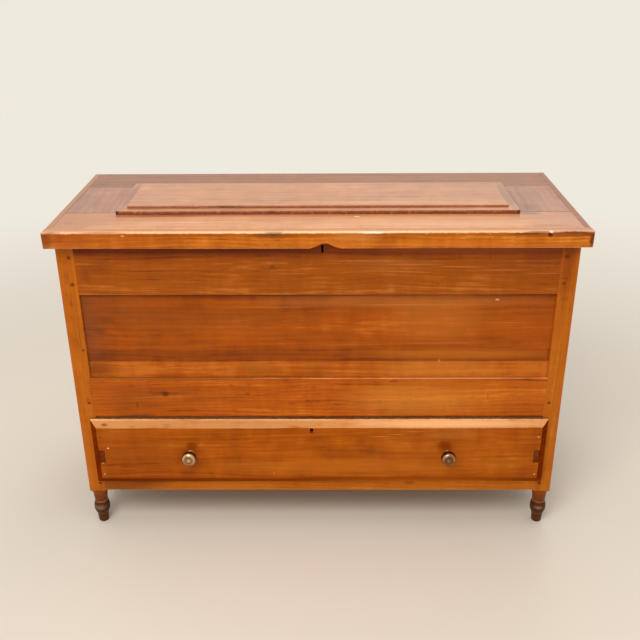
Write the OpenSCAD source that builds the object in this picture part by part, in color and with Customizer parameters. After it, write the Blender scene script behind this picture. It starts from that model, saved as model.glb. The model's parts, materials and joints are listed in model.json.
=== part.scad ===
// Blanket chest: a framed and panelled case on turned feet, with one long drawer under the chest
// and a hinged, framed lid that carries a two-step raised field and hangs over the case on nailed strips.
// Millimetres, +Z up. The front faces -Y and +X is the right-hand end, seen from the front.
// The origin is on the floor, under the middle of the box that holds the closed chest.

/* [Case] */
// Width over the posts
case_w = 1260; // [1000:10:1500]
// Depth over the posts
case_d = 486; // [420:2:600]
// Height of the case's top edge above the floor
case_h = 848; // [800:2:940]
// Side of each square post
post_w = 43; // [40:1:50]
// Height of the turned foot below the square of the post
foot_h = 110; // [100:1:112]
// Thickness of the rails
rail_t = 22; // [20:1:24]
// How far the rails stand back from the faces of the posts
rail_set = 1; // [0.5:0.5:3]
// Height of the top rails
top_rail_h = 152; // [120:1:170]
// Height of the underside of the front's lower rail above the floor
lower_rail_z = 347; // [320:1:370]
// Height of the front's lower rail
lower_rail_h = 116; // [90:1:130]
// Height of the underside of the bottom rails above the floor
bottom_rail_z = 114; // [112:1:125]
// Height of the front's bottom rail
bottom_rail_h = 34; // [28:1:40]
// Height of the bottom rails at the ends and the back
end_bottom_rail_h = 140; // [100:1:180]

/* [Panels and joints] */
// Thickness of the panels
panel_t = 9; // [8:1:11]
// How far the panels stand back from the rails
panel_set = 7; // [5:1:9]
// Depth of the grooves that hold the panels
groove_d = 8; // [5:1:9]
// Thickness of the tenons
tenon_t = 9; // [8:1:12]
// Shoulder above and below each tenon
tenon_shoulder = 6; // [4:1:10]
// Clearance all round a tenon, a tongue or a panel
fit = 0.2; // [0.1:0.05:0.4]
// Diameter of the pegs that lock the tenons
peg_d = 8; // [6:0.5:9]
// Length of the pegs
peg_l = 26; // [22:1:27]
// Distance of the pegs from the shoulder of the tenon
peg_in = 12; // [8:0.5:13]
// Clearance round pegs, nails, pins and screws
pin_fit = 0.05; // [0.02:0.01:0.1]

/* [Chest floor] */
// Thickness of the floor boards
floor_t = 12; // [9:1:18]
// Number of floor boards
floor_boards = 3; // [2:1:5]
// Gap between the floor boards
board_gap = 1; // [0.5:0.5:2]
// Side of the square bearers under the floor
bearer_w = 18; // [14:1:24]

/* [Lid] */
// Thickness of the lid's frame
lid_t = 20; // [18:1:26]
// Gap between the lid and the case's top edge
lid_gap = 1; // [0.5:0.1:1.5]
// Play between the lid's strips and the case
lid_play = 1; // [0.6:0.2:2]
// Width of the lid's front rail
lid_front_rail_w = 119; // [80:1:140]
// Width of the lid's back rail
lid_back_rail_w = 136; // [100:1:160]
// Width of the lid's end stiles
lid_stile_w = 139; // [100:1:180]
// Length of the tongues in the lid's frame
tongue_l = 8; // [6:1:10]
// Thickness of the tongues in the lid's frame
tongue_t = 6; // [5:1:8]
// How far the lower step of the raised field laps over the end stiles
step_lap = 8; // [4:1:20]
// Distance of the lower step from the case's front
step_front = 102; // [96:1:114]
// Distance of the lower step from the case's back
step_back = 134; // [120:2:200]
// Rise of the lower step above the lid's frame
lower_step_h = 10; // [6:1:16]
// Rise of the upper step above the lower one
upper_step_h = 6; // [4:1:12]
// Width of the ledge between the two steps
step_ledge = 24; // [14:1:34]

/* [Lid strips] */
// Height of the strips round the lid
strip_h = 40; // [34:1:48]
// Thickness of the front strip
front_strip_t = 32; // [24:1:36]
// Thickness of the end strips
end_strip_t = 16; // [12:1:22]
// Radius of the rounded upper edge of the strips
strip_round = 3.5; // [2:0.5:8]
// Middle of the hand hollow under the front strip, measured from the chest's middle
hollow_x = 19; // [0:1:40]
// Width of the hand hollow
hollow_w = 78; // [50:1:100]
// Height of the hand hollow
hollow_h = 12.5; // [8:0.5:16]
// Number of nails along the front strip
front_nails = 8; // [5:1:12]
// Number of nails along each end strip
end_nails = 4; // [3:1:6]
// Distance of the last of these nails from each end of its strip
nail_inset = 60; // [40:5:90]
// Depth to which the heads of these nails are set below the surface
nail_set = 3; // [2:0.5:6]
// Diameter of the nail heads
nail_head_d = 5; // [4:0.5:8]
// Diameter of the nail shanks
nail_d = 2.6; // [2:0.2:3.6]

/* [Drawer] */
// Gap above and below the drawer front
drawer_gap = 2; // [1:0.5:3]
// Gap between each drawer side and the post beside it
drawer_play = 3; // [2:0.5:4]
// Thickness of the drawer front behind the posts' faces
drawer_front_in = 10; // [9:1:14]
// How far the drawer front's lip stands out from the posts
lip_t = 9; // [6:1:11]
// How far the lip laps over each post
lip_lap = 13; // [8:1:16]
// How far the field of the drawer front stands out from the posts
field_out = 21; // [17:1:24]
// Width of the bevels along the drawer front's long edges
bevel_w = 18; // [12:1:24]
// Width of the bevels at the drawer front's ends
end_bevel_w = 16; // [12:1:24]
// Thickness of the drawer sides
drawer_side_t = 15; // [13:1:18]
// Thickness of the drawer back
drawer_back_t = 12; // [9:1:16]
// Thickness of the drawer bottom
drawer_bottom_t = 9; // [6:1:10]
// Depth of the grooves in the drawer's pieces
drawer_groove = 5; // [4:0.5:6]
// Height of the drawer bottom above the lower edge of the sides
drawer_bottom_up = 9; // [6:1:14]
// Space behind the drawer when it is shut
drawer_back_gap = 10; // [6:1:30]
// Width of a dovetail where it leaves the drawer side
tail_base = 28; // [20:1:32]
// Distance between the dovetails
tail_pitch = 63; // [50:1:70]
// Height of the first dovetail's middle above the lower edge of the side
tail_first = 24; // [22:1:34]
// Length of the dovetails that stay hidden behind the drawer's face
tail_l = 14; // [10:1:18]
// Running clearance under the drawer sides
run_gap = 0.3; // [0.2:0.1:0.6]
// Width of the runners that carry the drawer
runner_w = 32; // [24:1:44]
// Height of the guides beside the drawer
guide_h = 28; // [16:1:40]
// Clearance between the guides and the drawer sides
guide_gap = 1; // [0.5:0.5:1.5]

/* [Knobs] */
// Distance of each knob from the chest's middle
knob_x = 341; // [200:1:420]
// Diameter of the knobs
knob_d = 39; // [30:1:46]
// Thickness of the rounded head of the knobs
knob_head_t = 24; // [18:1:26]
// Reach of the knobs from the drawer's face
knob_reach = 35; // [32:1:52]
// Diameter of the neck of the knobs
knob_neck_d = 14; // [10:1:18]
// Diameter of the rose at the root of the knobs
knob_rose_d = 22; // [18:1:28]
// Diameter of the knobs' screwed studs
stud_d = 6; // [5:0.5:8]

/* [Hinges] */
// Distance of each hinge from the chest's middle
hinge_x = 420; // [250:5:480]
// Length of each hinge
hinge_l = 76; // [60:2:100]
// Width of each hinge leaf
leaf_w = 19; // [16:1:21]
// Thickness of each hinge leaf
leaf_t = 1.8; // [1.4:0.1:2.4]
// Radius of the hinge barrel
barrel_r = 4.5; // [4:0.25:6]
// Radius of the hinge pin
hinge_pin_r = 2; // [1.5:0.25:2.5]
// Gap between the barrel and the wood behind which it stands
barrel_gap = 0.5; // [0.4:0.1:1.5]

/* [Locks] */
// Middle of the chest's keyhole, measured from the chest's middle
chest_key_x = 12.5; // [-20:0.5:20]
// Height of the middle of the chest's keyhole below the case's top edge
chest_key_down = 33; // [28:1:40]
// Width of the chest's keyhole
chest_key_w = 7.5; // [5:0.5:9]
// Height of the chest's keyhole
chest_key_h = 21; // [16:1:24]
// Middle of the drawer's keyhole, measured from the chest's middle
drawer_key_x = -18; // [-40:1:40]
// Height of the middle of the drawer's keyhole below the drawer's top edge
drawer_key_down = 27; // [26:1:32]
// Width of the drawer's keyhole
drawer_key_w = 10; // [6:0.5:11]
// Height of the drawer's keyhole
drawer_key_h = 15; // [12:1:18]
// Thickness of the plates of both locks
lock_plate_t = 2; // [1.5:0.5:3]
// Travel of the bolts of both locks
bolt_travel = 8; // [6:0.5:9]
// Clearance round the lock bolts
bolt_gap = 0.3; // [0.2:0.1:0.5]
// Thickness of the lock bolts
bolt_t = 4; // [3:0.5:5]

/* [Hidden] */
$fn = 48;
half_w = case_w / 2;
post_in = half_w - post_w;
span_x = case_w - 2 * post_w;
span_y = case_d - 2 * post_w;
rail_back = rail_set + rail_t;
panel_front = rail_set + panel_set;
panel_back = panel_front + panel_t;
tenon_front = rail_set + (rail_t - tenon_t) / 2;
// The tenons of two rails that meet in one post stop this far from each other
tenon_apart = 2;
tenon_l = post_w - tenon_front - tenon_t - tenon_apart;

// Rails as pairs of underside height and height
top_rail = [case_h - top_rail_h, top_rail_h];
lower_rail = [lower_rail_z, lower_rail_h];
front_bottom_rail = [bottom_rail_z, bottom_rail_h];
end_bottom_rail = [bottom_rail_z, end_bottom_rail_h];
front_rails = [top_rail, lower_rail, front_bottom_rail];
end_rails = [top_rail, end_bottom_rail];

// Heights of the pegs, as shares of the height of the rail that they lock
function peg_heights(rail, shares) = [for (s = shares) rail[0] + rail[1] * s];
top_peg_zs = peg_heights(top_rail, [0.19, 0.65]);
front_peg_zs = concat(top_peg_zs, peg_heights(lower_rail, [0.37]), peg_heights(front_bottom_rail, [0.7]));
end_peg_zs = concat(top_peg_zs, peg_heights(end_bottom_rail, [0.22, 0.58]));

// Lid
lid_z = case_h + lid_gap;
lid_top = lid_z + lid_t;
lid_half = half_w + lid_play;
lid_front_y = -lid_play;
lid_opening_front = lid_front_y + lid_front_rail_w;
lid_opening_back = case_d - lid_back_rail_w;
lid_opening_half = lid_half - lid_stile_w;
tongue_z = lid_z + (lid_t - tongue_t) / 2;
strip_z = lid_top - strip_h;
front_strip_y = lid_front_y - front_strip_t;
step_half = lid_opening_half + step_lap;
step_back_y = case_d - step_back;
nail_l = 42;
nail_head_t = 1.5;

// Drawer
drawer_top = lower_rail_z - drawer_gap;
drawer_low = bottom_rail_z + bottom_rail_h + drawer_gap;
drawer_half = post_in - drawer_play;
lip_half = post_in + lip_lap;
lip_back = -0.5;
runner_top = drawer_low + 0.7;
side_low = runner_top + run_gap;
side_top = drawer_top - 2;
drawer_end = case_d - rail_back - drawer_back_gap;
drawer_back_y = drawer_end - 4 - drawer_back_t;
drawer_inner = drawer_half - drawer_side_t;
bottom_z = side_low + drawer_bottom_up;
tail_slope = 1 / 6;
tail_count = 1 + floor((side_top - side_low - tail_first - tail_base / 2 - 8) / tail_pitch);
// The dovetail at this place in the row shows through the drawer's face
shown_tail = 1;
drawer_nail_x = drawer_half - drawer_side_t / 2;
drawer_nail_zs = [for (s = [0.16, 0.77]) side_low + (side_top - side_low) * s];
runner_low = bottom_rail_z + 12;

// Knobs
knob_z = (drawer_top + drawer_low) / 2;
knob_middle = knob_reach - knob_head_t / 2;
washer_t = 1.5;
nut_t = 5;
nut_d = 13;
stud_l = field_out + drawer_front_in + washer_t + nut_t + 3;

// Hinges
hinge_y = case_d + barrel_gap + barrel_r;
hinge_z = case_h + lid_gap / 2;
knuckles = 5;
knuckle_gap = 0.4;
knuckle_l = (hinge_l - (knuckles - 1) * knuckle_gap) / knuckles;
leaf_sink = 2;
screw_head_d = 7;
screw_d = 3.6;
screw_l = 15;
hinge_screw_xs = [-hinge_l / 2 + 10, 0, hinge_l / 2 - 10];
hinge_screw_y = case_d - leaf_w / 2;

// Chest lock, let into the back of the top rail
chest_lock_half = 42;
chest_lock_h = 62;
chest_lock_t = 13;
chest_plate_half = 50;
chest_lock_front = rail_back - chest_lock_t;
chest_lock_low = case_h - chest_lock_h;
bolt_y = rail_back - chest_lock_t / 2;
loop_apart = 22;
loop_w = 4;
loop_d = 10;
loop_h = 13;
loop_low = lid_z - loop_h;
eye_w = 5.2;
eye_h = 5.5;
eye_low = loop_low + 2.5;
finger_low = eye_low + (eye_h - bolt_t) / 2;
bar_h = 8;
bar_low = loop_low - 1.5 - bar_h;
finger_l = 11;
riser_w = 3.5;
link_plate_l = 70;
link_plate_w = 16;
link_plate_t = 2;

// Drawer lock, let into the back of the drawer front
drawer_lock_half = 30;
drawer_lock_h = 48;
drawer_lock_t = 8;
drawer_plate_half = 38;
drawer_lock_front = drawer_front_in - drawer_lock_t;
drawer_lock_low = drawer_top - drawer_lock_h;
drawer_bolt_half = 11;
drawer_bolt_h = 30;
drawer_bolt_y = drawer_front_in - 3.5;
lock_screw_d = 3;
lock_screw_l = 10;

// The whole chest is moved by this much so that the middle of its box lies over the origin
front_reach = field_out + knob_reach;
back_reach = hinge_y + barrel_r;
y_shift = (front_reach - back_reach) / 2;

// A box between two values on each axis
module block(x, y, z) {
    translate([x[0], y[0], z[0]]) cube([x[1] - x[0], y[1] - y[0], z[1] - z[0]]);
}

// Moves a piece from the case's own corner to the origin of the chest
module placed() {
    translate([0, y_shift, 0]) children();
}

// Draws a right-hand piece, or mirrors it for the left
module on_side(side) {
    if (side > 0) children();
    else mirror([1, 0, 0]) children();
}

// Four frames of reference with x along a face of the case and y running inwards from that face
module at_back() {
    translate([0, case_d, 0]) rotate([0, 0, 180]) children();
}

module at_end(side) {
    on_side(side) translate([half_w, case_d / 2, 0]) rotate([0, 0, 90]) children();
}

// Both tenons of a rail, made larger by a clearance where they cut their mortises
module tenons(span, rail, grow) {
    for (s = [-1, 1])
        on_side(s)
            block(
                [span / 2 - 1, span / 2 + tenon_l + grow],
                [tenon_front - grow, tenon_front + tenon_t + grow],
                [rail[0] + tenon_shoulder - grow, rail[0] + rail[1] - tenon_shoulder + grow]
            );
}

module pegs(span, zs, grow) {
    for (s = [-1, 1], z = zs)
        translate([s * (span / 2 + peg_in), 0, z])
            rotate([-90, 0, 0]) cylinder(d = peg_d + 2 * grow, h = peg_l + grow);
}

// A panel of the case, from the underside of one rail to the top of the other
module case_panel(span, z_low, z_high, grow) {
    block(
        [-span / 2 - groove_d + fit - grow, span / 2 + groove_d - fit + grow],
        [panel_front + fit / 2 - grow / 2, panel_back - fit / 2 + grow / 2],
        [z_low - groove_d + fit - grow, z_high + groove_d - fit + grow]
    );
}

module case_rail(span, rail, zs) {
    difference() {
        union() {
            block([-span / 2, span / 2], [rail_set, rail_back], [rail[0], rail[0] + rail[1]]);
            tenons(span, rail, 0);
        }
        pegs(span, zs, pin_fit);
    }
}

module front_panel_shape(grow) {
    case_panel(span_x, lower_rail[0] + lower_rail[1], top_rail[0], grow);
}

module end_panel_shape(span, grow) {
    case_panel(span, end_bottom_rail[0] + end_bottom_rail[1], top_rail[0], grow);
}

// Outline of the turned foot: a tapered neck, a bead, a bulb, another bead and a tapered toe
bulb_r = post_w / 2;
neck_r = bulb_r - 1;
neck_low_r = bulb_r * 0.8;
high_bead_r = bulb_r * 0.84;
waist_r = bulb_r * 0.72;
low_bead_r = bulb_r * 0.77;
toe_r = bulb_r * 0.71;
toe_end_r = bulb_r * 0.63;
neck_low = foot_h * 0.65;
bead_h = 5;
bulb_top = neck_low - bead_h;
bulb_low = foot_h * 0.29;
toe_round = 3;
function bead(r, top) = [for (a = [60:-30:-60]) [r - bead_h / 2 * (1 - cos(a)), top - bead_h / 2 * (1 - sin(a))]];
function foot_outline() = concat(
    [[0, foot_h + 1], [neck_r, foot_h + 1], [neck_r, foot_h - bead_h], [neck_low_r, neck_low]],
    bead(high_bead_r, neck_low),
    [for (a = [75:-15:-75]) [waist_r + (bulb_r - waist_r) * cos(a),
        (bulb_top + bulb_low) / 2 + (bulb_top - bulb_low) / 2 * sin(a)]],
    bead(low_bead_r, bulb_low),
    [[toe_r, bulb_low - bead_h]],
    [for (a = [0:30:90]) [toe_end_r - toe_round + toe_round * cos(a), toe_round - toe_round * sin(a)]],
    [[0, 0]]
);

module foot() {
    translate([half_w - post_w / 2, post_w / 2, 0]) rotate_extrude() polygon(foot_outline());
}

// A corner post turned into a foot at its lower end; the front and back ones take different rails
module post(side, is_front) {
    color("peru") placed() difference() {
        on_side(side) translate([0, is_front ? 0 : case_d, 0]) mirror([0, is_front ? 0 : 1, 0]) union() {
            block([post_in, half_w], [0, post_w], [foot_h, case_h]);
            foot();
        }
        if (is_front) {
            for (r = front_rails) tenons(span_x, r, fit);
            front_panel_shape(fit);
            pegs(span_x, front_peg_zs, pin_fit);
        } else {
            at_back() {
                for (r = end_rails) tenons(span_x, r, fit);
                end_panel_shape(span_x, fit);
                pegs(span_x, end_peg_zs, pin_fit);
            }
        }
        at_end(side) {
            for (r = end_rails) tenons(span_y, r, fit);
            end_panel_shape(span_y, fit);
            pegs(span_y, end_peg_zs, pin_fit);
        }
    }
}

// A keyhole, round above and narrower below, drawn from one face of the wood to the other
module keyhole(x, z, w, h, y_from, y_to) {
    slot_w = w * 0.7;
    translate([x, y_to, z]) rotate([90, 0, 0]) linear_extrude(y_to - y_from) {
        translate([0, h / 2 - w / 2]) circle(d = w);
        translate([-slot_w / 2, -h / 2 + slot_w / 2]) square([slot_w, h - w / 2 - slot_w / 2]);
        translate([0, -h / 2 + slot_w / 2]) circle(d = slot_w);
    }
}

module front_top_rail() {
    color("sienna") placed() difference() {
        case_rail(span_x, top_rail, front_peg_zs);
        front_panel_shape(fit);
        block(
            [chest_key_x - chest_lock_half - fit, chest_key_x + chest_lock_half + fit],
            [chest_lock_front - fit, rail_back + 1],
            [chest_lock_low - fit, case_h + 1]
        );
        keyhole(chest_key_x, case_h - chest_key_down, chest_key_w, chest_key_h, rail_set - 1, rail_back);
        chest_lock_screws_shape(pin_fit);
    }
}

module front_lower_rail() {
    color("sienna") placed() difference() {
        case_rail(span_x, lower_rail, front_peg_zs);
        front_panel_shape(fit);
        block(
            [drawer_key_x - drawer_bolt_half - 1, drawer_key_x + drawer_bolt_half + 1],
            [drawer_bolt_y - bolt_t / 2 - 0.5, drawer_bolt_y + bolt_t / 2 + 0.5],
            [lower_rail_z - 1, lower_rail_z + bolt_travel + 3]
        );
    }
}

module front_bottom_rail() {
    color("sienna") placed() case_rail(span_x, front_bottom_rail, front_peg_zs);
}

module front_panel() {
    color("chocolate") placed() front_panel_shape(0);
}

module end_rail(side, rail) {
    color("sienna") placed() at_end(side) difference() {
        case_rail(span_y, rail, end_peg_zs);
        end_panel_shape(span_y, fit);
    }
}

module end_panel(side) {
    color("chocolate") placed() at_end(side) end_panel_shape(span_y, 0);
}

module back_top_rail() {
    color("sienna") placed() difference() {
        at_back() difference() {
            case_rail(span_x, top_rail, end_peg_zs);
            end_panel_shape(span_x, fit);
        }
        for (s = [-1, 1])
            translate([s * hinge_x, 0, 0])
                block([-hinge_l / 2, hinge_l / 2], [case_d - leaf_w - fit, case_d + 1], [case_h - leaf_sink, case_h + 1]);
        hinge_screws(-1, pin_fit);
    }
}

module back_bottom_rail() {
    color("sienna") placed() at_back() difference() {
        case_rail(span_x, end_bottom_rail, end_peg_zs);
        end_panel_shape(span_x, fit);
    }
}

module back_panel() {
    color("chocolate") placed() at_back() end_panel_shape(span_x, 0);
}

module joint_pegs() {
    color("saddlebrown") placed() {
        pegs(span_x, front_peg_zs, 0);
        at_back() pegs(span_x, end_peg_zs, 0);
        for (s = [-1, 1]) at_end(s) pegs(span_y, end_peg_zs, 0);
    }
}

// The floor boards lie lengthwise on the bearers, notched round the posts
floor_z = lower_rail_z + bearer_w;
floor_front = rail_back + fit;
floor_back = case_d - panel_back - fit;
floor_half = half_w - panel_back - fit;
board_w = (floor_back - floor_front - (floor_boards - 1) * board_gap) / floor_boards;
module chest_floor() {
    color("burlywood") placed() difference() {
        for (i = [0:floor_boards - 1])
            translate([0, floor_front + i * (board_w + board_gap), 0])
                block([-floor_half, floor_half], [0, board_w], [floor_z, floor_z + floor_t]);
        for (s = [-1, 1], y = [0, case_d - post_w])
            on_side(s)
                block([post_in - fit, half_w], [y - fit, y + post_w + fit], [floor_z - 1, floor_z + floor_t + 1]);
    }
}

// Two bearers run from front to back against the posts and two run between them
module floor_bearers() {
    color("tan") placed() {
        for (s = [-1, 1])
            on_side(s)
                block([post_in - bearer_w, post_in], [rail_back, case_d - panel_back], [lower_rail_z, floor_z]);
        for (y = [rail_back, case_d - panel_back - bearer_w])
            block([bearer_w - post_in, post_in - bearer_w], [y, y + bearer_w], [lower_rail_z, floor_z]);
    }
}

module drawer_runners() {
    color("tan") placed() for (s = [-1, 1])
        on_side(s)
            block([post_in - runner_w, post_in], [rail_back, case_d - rail_back], [runner_low, runner_top]);
}

module drawer_guides() {
    color("tan") placed() for (s = [-1, 1])
        on_side(s)
            block([drawer_half + guide_gap, half_w - rail_back], [post_w, case_d - post_w],
                [runner_top, runner_top + guide_h]);
}

// One hinge leaf with its knuckles; it lies under the seam on the case and above it on the lid
module hinge_leaf(of_case) {
    leaf_z = of_case ? case_h - leaf_t : lid_z;
    own = [for (i = [0:knuckles - 1]) if ((i % 2 == 0) == of_case) i];
    difference() {
        union() {
            block([-hinge_l / 2 + fit, hinge_l / 2 - fit], [case_d - leaf_w, case_d], [leaf_z, leaf_z + leaf_t]);
            for (i = own)
                translate([-hinge_l / 2 + i * (knuckle_l + knuckle_gap), 0, 0]) {
                    translate([0, hinge_y, hinge_z]) rotate([0, 90, 0]) cylinder(r = barrel_r, h = knuckle_l);
                    block([i == 0 ? fit : 0, knuckle_l - (i == knuckles - 1 ? fit : 0)], [case_d - 1, hinge_y],
                        [leaf_z, leaf_z + leaf_t]);
                }
        }
        translate([-hinge_l, hinge_y, hinge_z]) rotate([0, 90, 0])
            cylinder(r = hinge_pin_r + pin_fit, h = 2 * hinge_l);
        hinge_leaf_screws(of_case ? -1 : 1, pin_fit);
    }
}

// A countersunk screw, its head at z = 0 and its shank pointing down
module screw(head_d, shank_d, length, grow) {
    head_t = (head_d - shank_d) / 2;
    translate([0, 0, -head_t]) cylinder(d1 = shank_d + 2 * grow, d2 = head_d + 2 * grow, h = head_t);
    translate([0, 0, -length - grow]) cylinder(d = shank_d + 2 * grow, h = length + grow);
}

// The same screw with the slot for the driver
module slotted_screw(head_d, shank_d, length) {
    slot_w = head_d / 8;
    slot_d = head_d / 9;
    difference() {
        screw(head_d, shank_d, length, 0);
        block([-head_d, head_d], [-slot_w / 2, slot_w / 2], [-slot_d, 1]);
    }
}

module at_hinge_screws(way) {
    for (x = hinge_screw_xs)
        translate([x, hinge_screw_y, way < 0 ? case_h : lid_z]) rotate([way < 0 ? 0 : 180, 0, 0]) children();
}

module hinge_leaf_screws(way, grow) {
    at_hinge_screws(way) screw(screw_head_d, screw_d, screw_l, grow);
}

module hinge_screws(way, grow) {
    for (s = [-1, 1]) translate([s * hinge_x, 0, 0]) hinge_leaf_screws(way, grow);
}

module hinge_case_leaves() {
    color("goldenrod") placed() for (s = [-1, 1]) translate([s * hinge_x, 0, 0]) hinge_leaf(true);
}

module hinge_lid_leaves() {
    color("goldenrod") placed() for (s = [-1, 1]) translate([s * hinge_x, 0, 0]) hinge_leaf(false);
}

// Each pin is peened over at both ends into a flat head that bears on the barrel
module hinge_pins() {
    head_t = 1.5;
    color("gray") placed() for (s = [-1, 1])
        translate([s * hinge_x - hinge_l / 2, hinge_y, hinge_z]) rotate([0, 90, 0]) {
            cylinder(r = hinge_pin_r, h = hinge_l);
            for (z = [-head_t, hinge_l]) translate([0, 0, z]) cylinder(r = hinge_pin_r + 1, h = head_t);
        }
}

module hinge_case_screws() {
    color("gray") placed() for (s = [-1, 1])
        translate([s * hinge_x, 0, 0]) at_hinge_screws(-1) slotted_screw(screw_head_d, screw_d, screw_l);
}

module hinge_lid_screws() {
    color("gray") placed() for (s = [-1, 1])
        translate([s * hinge_x, 0, 0]) at_hinge_screws(1) slotted_screw(screw_head_d, screw_d, screw_l);
}

// Chest lock: the bolt slides sideways through the eyes of two loops that hang from the lid
module at_chest_lock_screws() {
    for (s = [-1, 1], z = [chest_lock_low + 4, case_h - 10])
        translate([chest_key_x + s * (chest_plate_half - 4), rail_back + lock_plate_t, z])
            rotate([-90, 0, 0]) children();
}

module chest_lock_screws_shape(grow) {
    at_chest_lock_screws() screw(5, lock_screw_d, lock_screw_l, grow);
}

module chest_lock_screws() {
    color("gray") placed() at_chest_lock_screws() slotted_screw(5, lock_screw_d, lock_screw_l);
}

module chest_bolt_shape(travel, grow) {
    bolt_ys = [bolt_y - bolt_t / 2 - grow, bolt_y + bolt_t / 2 + grow];
    first = -loop_apart - loop_w / 2 - 1 - finger_l;
    translate([chest_key_x, 0, 0]) {
        block([first - grow, loop_apart - loop_w / 2 - 1 + travel + grow], bolt_ys, [bar_low - grow, bar_low + bar_h + grow]);
        for (x = [-loop_apart, loop_apart]) {
            tip = x - loop_w / 2 - 1;
            block([tip - finger_l - grow, tip + travel + grow], bolt_ys, [finger_low - grow, finger_low + bolt_t + grow]);
            block([tip - finger_l - grow, tip - finger_l + riser_w + travel + grow], bolt_ys,
                [bar_low + 1, finger_low + 1]);
        }
    }
}

module chest_lock_bolt() {
    color("silver") placed() chest_bolt_shape(0, 0);
}

module chest_lock() {
    color("darkgoldenrod") placed() difference() {
        union() {
            block([chest_key_x - chest_lock_half, chest_key_x + chest_lock_half], [chest_lock_front, rail_back],
                [chest_lock_low, case_h]);
            block([chest_key_x - chest_plate_half, chest_key_x + chest_plate_half],
                [rail_back, rail_back + lock_plate_t], [chest_lock_low - 2, case_h]);
        }
        chest_bolt_shape(bolt_travel, bolt_gap);
        for (x = [-loop_apart, loop_apart])
            block(
                [chest_key_x + x - loop_w / 2 - 0.8, chest_key_x + x + loop_w / 2 + 0.8],
                [bolt_y - loop_d / 2 - 0.8, bolt_y + loop_d / 2 + 0.8],
                [loop_low - 1.2, case_h + 1]
            );
        keyhole(chest_key_x, case_h - chest_key_down, chest_key_w, chest_key_h, chest_lock_front - 1, bolt_y);
        chest_lock_screws_shape(pin_fit);
    }
}

// The link plate is let into the underside of the lid; its two loops drop into the lock
module link_plate_block(grow) {
    block(
        [chest_key_x - link_plate_l / 2 - grow, chest_key_x + link_plate_l / 2 + grow],
        [bolt_y - link_plate_w / 2 - grow, bolt_y + link_plate_w / 2 + grow],
        [lid_z, lid_z + link_plate_t + grow]
    );
}

module at_link_screws() {
    for (s = [-1, 1]) translate([chest_key_x + s * (link_plate_l / 2 - 5), bolt_y, lid_z]) rotate([180, 0, 0]) children();
}

module lock_link_plate() {
    color("darkgoldenrod") placed() {
        difference() {
            union() {
                link_plate_block(0);
                for (x = [-loop_apart, loop_apart])
                    block([chest_key_x + x - loop_w / 2, chest_key_x + x + loop_w / 2],
                        [bolt_y - loop_d / 2, bolt_y + loop_d / 2], [loop_low, lid_z + 1]);
            }
            block([chest_key_x - loop_apart - loop_w, chest_key_x + loop_apart + loop_w],
                [bolt_y - eye_w / 2, bolt_y + eye_w / 2], [eye_low, eye_low + eye_h]);
            at_link_screws() screw(5, lock_screw_d, lock_screw_l, pin_fit);
        }
        at_link_screws() slotted_screw(5, lock_screw_d, lock_screw_l);
    }
}

// A tongue that runs round the edge of a piece of the lid's frame
module lid_tongue(x, y, grow) {
    block(x, y, [tongue_z - grow, tongue_z + tongue_t + grow]);
}

module lid_front_rail() {
    color("peru") placed() difference() {
        block([-lid_half, lid_half], [lid_front_y, lid_opening_front], [lid_z, lid_top]);
        lid_tongue([-lid_half - 1, lid_half + 1], [lid_opening_front - tongue_l, lid_opening_front + 1], fit / 2);
        link_plate_block(fit);
        at_link_screws() screw(5, lock_screw_d, lock_screw_l, pin_fit);
        strip_nails_shape(pin_fit);
    }
}

module lid_back_rail() {
    color("peru") placed() difference() {
        block([-lid_half, lid_half], [lid_opening_back, case_d], [lid_z, lid_top]);
        lid_tongue([-lid_half - 1, lid_half + 1], [lid_opening_back - 1, lid_opening_back + tongue_l], fit / 2);
        for (s = [-1, 1])
            translate([s * hinge_x, 0, 0])
                block([-hinge_l / 2, hinge_l / 2], [case_d - leaf_w - fit, case_d + 1], [lid_z - 1, lid_z + leaf_sink]);
        hinge_screws(1, pin_fit);
        strip_nails_shape(pin_fit);
    }
}

module lid_stile(side) {
    color("peru") placed() difference() {
        on_side(side) difference() {
            union() {
                block([lid_opening_half, lid_half], [lid_opening_front, lid_opening_back], [lid_z, lid_top]);
                lid_tongue([lid_opening_half, lid_half],
                    [lid_opening_front - tongue_l + fit, lid_opening_back + tongue_l - fit], 0);
            }
            lid_tongue([lid_opening_half - 1, lid_opening_half + tongue_l],
                [lid_opening_front - tongue_l, lid_opening_back + tongue_l], fit / 2);
        }
        strip_nails_shape(pin_fit);
    }
}

module lid_panel() {
    color("chocolate") placed() {
        block([-lid_opening_half + fit, lid_opening_half - fit],
            [lid_opening_front + fit, lid_opening_back - fit], [lid_z + 2, lid_top]);
        lid_tongue([-lid_opening_half - tongue_l + fit, lid_opening_half + tongue_l - fit],
            [lid_opening_front - tongue_l + fit, lid_opening_back + tongue_l - fit], 0);
    }
}

module step(inset, z, h) {
    block([-step_half + inset, step_half - inset], [step_front + inset, step_back_y - inset], [z, z + h]);
}

module lid_lower_step() {
    color("chocolate") placed() step(0, lid_top, lower_step_h);
}

module lid_upper_step() {
    color("chocolate") placed() step(step_ledge, lid_top + lower_step_h, upper_step_h);
}

// Cross-section of a strip, its back at x = 0, with the outer upper edge rounded
module strip_section(t) {
    difference() {
        square([t, strip_h]);
        translate([t - strip_round, strip_h - strip_round]) difference() {
            square(strip_round + 1);
            circle(r = strip_round);
        }
    }
}

// The lower edge of the front strip rises in a hollow for the hand, with a short flat at its top
module hollow_outline() {
    steps = 24;
    flat = 0.17;
    polygon(concat(
        [[hollow_x - hollow_w / 2, strip_z - 1]],
        [for (i = [0:steps]) let (t = 2 * i / steps - 1, fall = max(0, abs(t) - flat) / (1 - flat))
            [hollow_x + t * hollow_w / 2, strip_z + hollow_h * pow(1 - fall, 1.6)]],
        [[hollow_x + hollow_w / 2, strip_z - 1]]
    ));
}

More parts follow.
